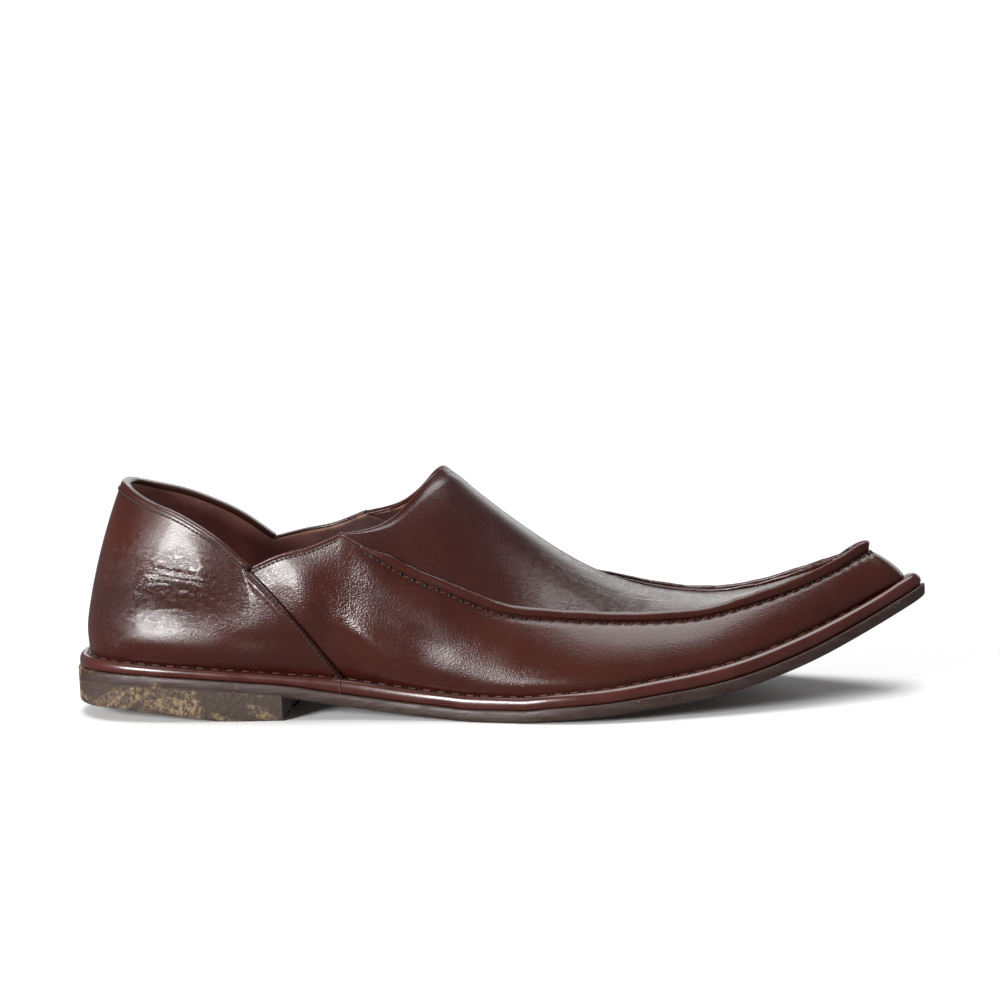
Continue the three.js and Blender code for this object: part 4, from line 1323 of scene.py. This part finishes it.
def moc_stitches(last):
    """Hand stitches under the raised seam"""
    way = way_round(spread_to(RIB_ANGLE + 0.01, math.pi, 200))
    line, levels = below_top(last, way, MOC_INSET, -0.0003)
    threads = bmesh.new()
    sew(threads, "moc thread", evenly(line, levels, MOC_PITCH, 0.74))
    add_piece(last, "moc_stitches", threads, ["Moc thread"])
    # Dark blobs of painted shade for the holes between the hand stitches
    holes = bmesh.new()
    sew(holes, "moc hole", evenly(line, levels, MOC_PITCH, 0.26))
    add_piece(last, "moc_hole_shade", holes, ["Stitch hole"])


# Pitch of the machine stitches and how far they stand out of the leather, in metres
EDGE_PITCH = 0.0018
EDGE_LIFT = 0.0002


def edge_lines(last):
    """Lines of the machine stitches along the collar, the notch and the slanting edges"""
    proud = last.sizes.gap + last.sizes.quarter_thickness
    yield below_top(last, way_behind(INNER, 90), COLLAR_INSET, proud + EDGE_LIFT)
    for side in (OUTER, INNER):
        front_way = [(side, a) for a in spread(NOTCH_ANGLE + 0.01, SEAM_ANGLE, 30)]
        yield below_top(last, front_way, COLLAR_INSET, EDGE_LIFT)
        yield slanting_line(last, side, EDGE_INSET, proud + EDGE_LIFT)


def edge_stitches(last):
    """Machine stitches, each between two dark holes, whose darkness is painted shade"""
    threads = bmesh.new()
    holes = bmesh.new()
    for line, levels in edge_lines(last):
        sew(threads, "edge thread", evenly(line, levels, EDGE_PITCH))
        # The holes are near-black blobs of painted shade
        sew(holes, "edge hole", evenly(line, levels, EDGE_PITCH, 0.0))
    add_piece(last, "edge_stitches", threads, ["Dark thread"])
    add_piece(last, "edge_hole_shade", holes, ["Stitch hole"])


def slanting_line(last, side, inset, lift):
    """A line behind the slanting edge of the back panel, from its top to its foot"""
    steps = 60
    line = []
    levels = []
    for i in range(steps - 1, 1, -1):
        up = i / steps
        edge = last.quarter_edge(up)
        angle = edge - inset / (math.sin(edge) * last.sizes.length / 2)
        normal = last.wall_normal(side, angle, up)
        place = last.wall(side, angle, up)
        line.append(place + normal * (lift + relief(side, place.x, place.z)))
        levels.append(normal)
    return line, levels


# Section of the folded edge at the collar and the throat, as shares of its thickness: over is
# how far past the edge it stands, out how far outside the leather.
FOLD_SECTION = [
    dict(over=-0.45, out=-0.040),
    dict(over=-0.12, out=0.004),
    dict(over=0.03, out=-0.05),
    dict(over=0.08, out=-0.22),
    dict(over=0.07, out=-0.40),
    dict(over=0.06, out=-0.75),
    dict(over=0.02, out=-0.96),
    dict(over=-0.10, out=-1.02),
    dict(over=-0.45, out=-1.010),
]

# The row of that section whose faces, between it and the next, show the cut edge
RAW_ROW = 2

# Share of the wall's height at which the top edge's normals are taken
NEAR_TOP = 0.985


def folded_edge(line, normals, thick):
    """A folded edge of leather along a line on the outside of a sheet"""
    rows = len(FOLD_SECTION)
    columns = len(line) - 1
    frames = frames_along(line, normals)

    def place(column, row):
        part = FOLD_SECTION[row % rows]
        _, level, behind = frames[column]
        return line[column] + level * (part["out"] * thick) - behind * (part["over"] * thick)

    mesh = sheet(columns, rows, place, lambda column, row: (column / columns, row / rows))
    weld(mesh)
    uv = mesh.loops.layers.uv.active
    for face in mesh.faces:
        middle = sum(loop[uv].uv.y for loop in face.loops) / len(face.loops) * rows
        face.material_index = 1 if int(middle) == RAW_ROW else 0
    close_ends(mesh)
    bmesh.ops.recalc_face_normals(mesh, faces=mesh.faces)
    return mesh


def collar_edges(last):
    """Folded edges of the back's collar, the side panels and the throat"""
    sizes = last.sizes
    proud = sizes.gap + sizes.quarter_thickness
    meshes = [folded_edge(*top_line(last, way_behind(OUTER, 80), proud), sizes.wall + proud)]
    for side in (OUTER, INNER):
        angles = spread_to(NOTCH_ANGLE, SEAM_ANGLE, 36)
        way = [(side, a) for a in (reversed(angles) if side == OUTER else angles)]
        meshes.append(folded_edge(*top_line(last, way, 0.0), sizes.wall))
    meshes.append(folded_edge(*throat_line(last), sizes.wall))
    add_piece(last, "collar_edges", merged(meshes), ["Folded edge", "Cut edge"])


def throat_line(last):
    """The throat's edge from the inner side over its middle to the outer side, and its normals"""
    steps = 60
    spots = [(INNER, i) for i in range(steps)] + [(OUTER, i) for i in range(steps, -1, -1)]
    line = []
    for side, i in spots:
        place = last.throat(side, i / steps)
        place.z = last.apron_height(place.x, place.y)
        line.append(place)
    return line, [apron_normal(last, place) for place in line]


def top_line(last, way, lift):
    """The top edge of the wall, moved out by lift, and its normals"""
    normals = [last.wall_normal(side, angle, NEAR_TOP) for side, angle in way]
    return [last.top_point(*spot) + normal * lift for spot, normal in zip(way, normals)], normals


def apron_normal(last, place):
    step = 0.002
    slope_x = last.apron_height(place.x + step, place.y) - last.apron_height(place.x, place.y)
    slope_y = last.apron_height(place.x, place.y + step) - last.apron_height(place.x, place.y - step)
    return Vector((-slope_x / step, -slope_y / step / 2, 1)).normalized()


def plate(last, rings, steps=150):
    """A closed plate from rings that follow the sole's outline, from the middle of its
    underside out and up to the middle of its top"""
    way = way_round(spread_to(0, math.pi, steps))
    count = len(rings) + 1

    def place(column, row):
        side, angle = way[column]
        if 0 < row < count:
            return rings[row - 1](side, angle)
        ring = rings[0] if row == 0 else rings[-1]
        return (ring(OUTER, angle) + ring(INNER, angle)) / 2

    def uv(column, row):
        return (way[column][1] / math.pi, row / count)

    mesh = sheet(len(way) - 1, count, place, uv)
    weld(mesh)
    return mesh


def ring(last, inset, tip_inset, height_of):
    """A ring round the sole's outline, drawn in, at a height for each place along the shoe"""
    def place(side, angle):
        spot = last.outline_point(side, angle, inset, tip_inset)
        spot.z = height_of(spot.x)
        return spot
    return place


# Radius of the worn edges of outsole and heel, in metres
WORN_EDGE = 0.0008


def outsole(last):
    """Outsole with worn, rounded edges"""
    sizes = last.sizes
    soft = WORN_EDGE
    low = last.sole_bottom
    high = last.sole_top
    middle = sizes.outsole_thickness / 2
    rings = [
        ring(last, soft * 5, 0, low),
        ring(last, soft, 0, low),
        ring(last, soft * 0.3, 0, lambda x: low(x) + soft * 0.3),
        ring(last, 0, 0, lambda x: low(x) + soft),
        ring(last, 0, 0, lambda x: low(x) + middle),
        ring(last, 0, 0, lambda x: high(x) - soft * 0.7),
        ring(last, soft * 0.3, 0, lambda x: high(x) - soft * 0.15),
        ring(last, soft, 0, high),
        ring(last, soft * 7.5, 0, high),
    ]
    add_piece(last, "outsole_leather", plate(last, rings), ["Sole leather"], ["outsole"])


def bead_profile():
    """Smooth section of the rolled edge: (away, up) shares, from the outsole to the upper"""
    away = through(BEAD_SECTION, BEAD_SECTION.index, lambda r: r["away"])
    up = through(BEAD_SECTION, BEAD_SECTION.index, lambda r: r["up"])
    steps = 18
    span = len(BEAD_SECTION) - 1
    return [(away(i / steps * span), up(i / steps * span)) for i in range(steps + 1)]


def bead_ring(last, away, up, out=0.0):
    """A ring on the rolled edge, away and up as in its section, stood out of it by out"""
    sizes = last.sizes
    across = sizes.wall_inset - sizes.gap - sizes.bead_inset
    inset = sizes.bead_inset + away * across - out
    return ring(last, inset, away * sizes.toe_set_back,
                lambda x: last.rand_bottom(x) + up * last.bead_rise(x))


# How far the rolled edge leans back at the tip for each step up, and the share of the length
# from which it does
TIP_LEAN = 0.45
TIP_FROM = 0.93


def leaning(last, away, up, place_of):
    """A ring of the rolled edge, leaning back at the tip as the sole's slope does"""
    length = last.sizes.length

    def place(side, angle):
        spot = place_of(side, angle)
        slope = TIP_LEAN * smoothstep(spot.x, TIP_FROM * length, length)
        spot.x -= slope * up * last.bead_rise(spot.x) * (1 - away)
        return spot
    return place


def rand(last):
    """Rand wrapped over the platform, rolled along its edge"""
    rings = [leaning(last, away, up, bead_ring(last, away, up)) for away, up in bead_profile()]
    add_piece(last, "rand_bead", plate(last, rings, 220), ["Rand leather"], ["rand"])


# Pitch of the rand's long stitches in metres, their place in the crease as shares of the rolled
# edge's section, and how far they lean out for each step up
RAND_PITCH = 0.0058
CREASE_AWAY = 0.86
CREASE_UP = 0.98
CREASE_LEAN = 0.6

# The rand's joint on each side: its share of the length, and the pitch of the stitches over it
# and how far these stand out, in metres
JOINT_AT = 0.333
JOINT_PITCH = 0.0006
JOINT_LIFT = 0.00005


def rand_stitches(last):
    """Long stitches in the crease between the rolled edge and the upper, and the rand's joints"""
    crease = bead_ring(last, CREASE_AWAY, CREASE_UP)
    way = way_round(spread_to(0, math.pi, 240))
    line = [crease(*spot) for spot in way]
    levels = [(Vector((0, 0, 1)) + last.away(*spot) * CREASE_LEAN).normalized() for spot in way]
    threads = bmesh.new()
    sew(threads, "rand thread", evenly(line, levels, RAND_PITCH))
    # Near-black blobs of painted shade for the holes at the ends of the long stitches
    holes = bmesh.new()
    sew(holes, "rand hole", evenly(line, levels, RAND_PITCH, 0.0))
    add_piece(last, "rand_hole_shade", holes, ["Stitch hole"])
    angle = angle_at(JOINT_AT)
    for side in (OUTER, INNER):
        joint = [bead_ring(last, away, up, JOINT_LIFT)(side, angle) for away, up in bead_profile()]
        levels = [last.away(side, angle)] * len(joint)
        sew(threads, "rand joint", evenly(joint, levels, JOINT_PITCH, 0.2))
    add_piece(last, "rand_stitches", threads, ["Dark thread"])


def insole(last):
    """Insole with its sock lining"""
    sizes = last.sizes
    inset = sizes.wall_inset + sizes.quarter_thickness + sizes.gap + sizes.wall + sizes.insole_margin
    tip = sizes.toe_set_back + sizes.insole_margin
    edge = sizes.insole_thickness / 3

    def below_surface(depth):
        return lambda x: last.wall_bottom(x) + sizes.insole_thickness - depth

    rings = [
        ring(last, inset, tip, last.wall_bottom),
        ring(last, inset, tip, below_surface(edge)),
        ring(last, inset + edge * 0.3, tip, below_surface(edge * 0.3)),
        ring(last, inset + edge, tip, below_surface(0.0)),
        ring(last, inset + 0.01, tip, below_surface(0.0)),
    ]
    add_piece(last, "sock_lining", plate(last, rings), ["Lining leather"], ["insole"])


# Insets of the rings on the heel's underside and top, in metres
HEEL_RINGS = (0.030, 0.018, 0.008)


def heel(last):
    """Heel block, worn up at the back, with a hollow breast"""
    sizes = last.sizes
    flat_start = sizes.heel_length - sizes.heel_flat
    worn_end = flat_start * 0.25
    soft = WORN_EDGE
    top = last.sole_bottom

    def worn(x):
        return sizes.heel_wear * (1 - smoothstep(x, worn_end, flat_start))

    rings = [ring(last, inset, 0, worn) for inset in HEEL_RINGS]
    rings += [
        ring(last, soft, 0, worn),
        ring(last, soft * 0.3, 0, lambda x: worn(x) + soft * 0.3),
        ring(last, 0, 0, lambda x: worn(x) + soft),
        ring(last, 0, 0, lambda x: mix(worn(x), top(x), 0.5)),
        ring(last, 0, 0, lambda x: top(x) + soft),
        ring(last, soft, 0, lambda x: top(x) + soft),
    ]
    rings += [ring(last, inset, 0, top) for inset in reversed(HEEL_RINGS)]
    mesh = plate(last, rings, 260)
    whole = mesh.verts[:] + mesh.edges[:] + mesh.faces[:]
    bmesh.ops.bisect_plane(mesh, geom=whole, dist=SAME_PLACE, plane_co=(sizes.heel_length, 0, 0),
                           plane_no=(1, 0, 0), clear_outer=True)
    close_ends(mesh)
    half = sizes.heel_width / 2
    for vert in mesh.verts:
        if abs(vert.co.x - sizes.heel_length) < SAME_PLACE:
            vert.co.x -= sizes.breast_hollow * max(0.0, 1 - (vert.co.y / half) ** 2)
    long_faces = [face for face in mesh.faces if len(face.verts) > 4]
    bmesh.ops.triangulate(mesh, faces=long_faces)
    piece = add_piece(last, "heel_block", mesh, ["Heel rubber"], ["heel"])
    piece.data.set_sharp_from_angle(angle=math.radians(50))


# Camera: where it looks, in metres in the row frame, and from which side in degrees
LOOKS_AT = Vector((0.00417, 0.00175, 0.07494))
CAMERA_SIDE = math.radians(10.5)
CAMERA_HEIGHT = math.radians(9.2)
CAMERA_ROLL = math.radians(3.2)
CAMERA_DISTANCE = 1.8
CAMERA_LENS = 174.2
CAMERA_SENSOR = 36

# Soft lights. side is counted in degrees from the camera's straight-on side towards the toe,
# height above the ground in degrees; far, wide and high are in metres, power in watts.
LIGHTS = [
    dict(name="key light", side=-39, height=18, far=1.5, wide=0.60, high=0.46, power=28),
    dict(name="back card", side=174, height=17, far=5.0, wide=7.0, high=2.1, power=60),
]

# The overhead lamp's strength, the width of its disc in the sky and how far it is tilted to the
# back, and the strength of the even light from all round
SKY_LIGHT = 2.55
SKY_SOFTNESS = math.radians(46)
SKY_TILT = math.radians(-7)
WORLD_LIGHT = 0.20

# Half the floor's width in metres, and how much darker its faint cloudy patches are
FLOOR_HALF = 15
FLOOR_CLOUDS = 0.985


def towards(side, height):
    """Direction to a place at an angle round the shoe and above the ground"""
    return Vector((math.sin(side) * math.cos(height), -math.cos(side) * math.cos(height), math.sin(height)))


def add_camera():
    """The camera at the photo's angle, rolled as the photo is"""
    data = bpy.data.cameras.new("camera")
    data.lens = CAMERA_LENS
    data.sensor_width = CAMERA_SENSOR
    data.clip_end = 50
    camera = bpy.data.objects.new("camera", data)
    bpy.context.collection.objects.link(camera)
    back = towards(CAMERA_SIDE, CAMERA_HEIGHT)
    right = Vector((math.cos(CAMERA_SIDE), math.sin(CAMERA_SIDE), 0))
    up = back.cross(right)
    turned_right = right * math.cos(CAMERA_ROLL) - up * math.sin(CAMERA_ROLL)
    turned_up = right * math.sin(CAMERA_ROLL) + up * math.cos(CAMERA_ROLL)
    turn = Matrix((turned_right, turned_up, back)).transposed().to_4x4()
    camera.matrix_world = Matrix.Translation(LOOKS_AT + back * CAMERA_DISTANCE) @ turn
    bpy.context.scene.camera = camera


def add_lights():
    """Two soft lights, the overhead lamp and the even light"""
    for row in LIGHTS:
        data = bpy.data.lights.new(row["name"], "AREA")
        data.shape = "ELLIPSE"
        data.size = row["wide"]
        data.size_y = row["high"]
        data.energy = row["power"]
        light = bpy.data.objects.new(row["name"], data)
        bpy.context.collection.objects.link(light)
        way = towards(math.radians(row["side"]), math.radians(row["height"]))
        light.location = way * row["far"]
        light.rotation_euler = way.to_track_quat("Z", "Y").to_euler()
        light.visible_camera = False
    data = bpy.data.lights.new("overhead light", "SUN")
    data.energy = SKY_LIGHT
    data.angle = SKY_SOFTNESS
    overhead = bpy.data.objects.new("overhead light", data)
    bpy.context.collection.objects.link(overhead)
    overhead.rotation_euler = (SKY_TILT, 0, 0)
    world = bpy.data.worlds.new("studio")
    world.use_nodes = True
    background = world.node_tree.nodes["Background"]
    background.inputs["Color"].default_value = (1, 1, 1, 1)
    background.inputs["Strength"].default_value = WORLD_LIGHT
    bpy.context.scene.world = world
    bpy.context.scene.view_settings.view_transform = "Standard"


def add_floor():
    """Plain pale floor. Glossy surfaces don't mirror it, as the photo's leather mirrors no ground."""
    mesh = bmesh.new()
    bmesh.ops.create_grid(mesh, x_segments=4, y_segments=4, size=FLOOR_HALF)
    data = bpy.data.meshes.new("floor")
    mesh.to_mesh(data)
    mesh.free()
    n = Finish("Floor")
    tone = colours()
    clouds = n.between(n.noise(3, 2, 0.5), 0.3, 0.7)
    colour = n.blend(tone.floor, [value * FLOOR_CLOUDS for value in tone.floor], clouds)
    data.materials.append(n.finish(colour, 0.8))
    floor = bpy.data.objects.new("floor", data)
    bpy.context.collection.objects.link(floor)
    floor.visible_glossy = False


class MulePieceOperator:
    """What the operators of the mule share: each makes its pieces from the sizes"""
    bl_options = {"REGISTER", "UNDO"}
    makers = ()

    def execute(self, context):
        last = Last(context.scene.mule_sizes)
        for make in self.makers:
            make(last)
        return {"FINISHED"}


class MULE_OT_stage(bpy.types.Operator):
    """Makes the floor, the lights and the camera"""
    bl_idname = "mule.stage"
    bl_label = "Stage"

    def execute(self, context):
        add_camera()
        add_lights()
        add_floor()
        return {"FINISHED"}


class MULE_OT_sole(MulePieceOperator, bpy.types.Operator):
    """Makes the outsole and the heel block"""
    bl_idname = "mule.sole"
    bl_label = "Outsole and heel"
    makers = (outsole, heel)


class MULE_OT_rand(MulePieceOperator, bpy.types.Operator):
    """Makes the rand with its rolled edge"""
    bl_idname = "mule.rand"
    bl_label = "Rand"
    makers = (rand, rand_stitches)


class MULE_OT_insole(MulePieceOperator, bpy.types.Operator):
    """Makes the insole"""
    bl_idname = "mule.insole"
    bl_label = "Insole"
    makers = (insole,)


class MULE_OT_upper(MulePieceOperator, bpy.types.Operator):
    """Makes the wall and the apron of the upper, lined"""
    bl_idname = "mule.upper"
    bl_label = "Upper"
    makers = (side_wall, apron)


class MULE_OT_quarter(MulePieceOperator, bpy.types.Operator):
    """Makes the back panel"""
    bl_idname = "mule.quarter"
    bl_label = "Back panel"
    makers = (heel_quarter,)


class MULE_OT_seam(MulePieceOperator, bpy.types.Operator):
    """Makes the raised seam and its hand stitches"""
    bl_idname = "mule.seam"
    bl_label = "Raised seam"
    makers = (raised_seam, moc_stitches)


class MULE_OT_edges(MulePieceOperator, bpy.types.Operator):
    """Makes the folded edges and the machine stitches"""
    bl_idname = "mule.edges"
    bl_label = "Edges and stitches"
    makers = (collar_edges, edge_stitches)


OPERATORS = (
    MULE_OT_stage,
    MULE_OT_sole,
    MULE_OT_rand,
    MULE_OT_insole,
    MULE_OT_upper,
    MULE_OT_quarter,
    MULE_OT_seam,
    MULE_OT_edges,
)


class MULE_PT_sidebar(bpy.types.Panel):
    """Sizes, colours and pieces of the mule"""
    bl_idname = "MULE_PT_sidebar"
    bl_label = "Leather mule"
    bl_space_type = "VIEW_3D"
    bl_region_type = "UI"
    bl_category = "Mule"

    def draw(self, context):
        for operator in OPERATORS:
            self.layout.operator(operator.bl_idname)
        for group in (context.scene.mule_sizes, context.scene.mule_colours):
            box = self.layout.box()
            for name in group.__annotations__:
                box.prop(group, name)


def register():
    for kind in (MuleSizes, MuleColours, *OPERATORS, MULE_PT_sidebar):
        bpy.utils.register_class(kind)
    bpy.types.Scene.mule_sizes = PointerProperty(type=MuleSizes)
    bpy.types.Scene.mule_colours = PointerProperty(type=MuleColours)


def unregister():
    del bpy.types.Scene.mule_colours
    del bpy.types.Scene.mule_sizes
    for kind in reversed((MuleSizes, MuleColours, *OPERATORS, MULE_PT_sidebar)):
        bpy.utils.unregister_class(kind)


def main():
    register()
    bpy.ops.mule.stage()
    bpy.ops.mule.sole()
    bpy.ops.mule.rand()
    bpy.ops.mule.insole()
    bpy.ops.mule.upper()
    bpy.ops.mule.quarter()
    bpy.ops.mule.seam()
    bpy.ops.mule.edges()


if __name__ == "__main__":
    main()
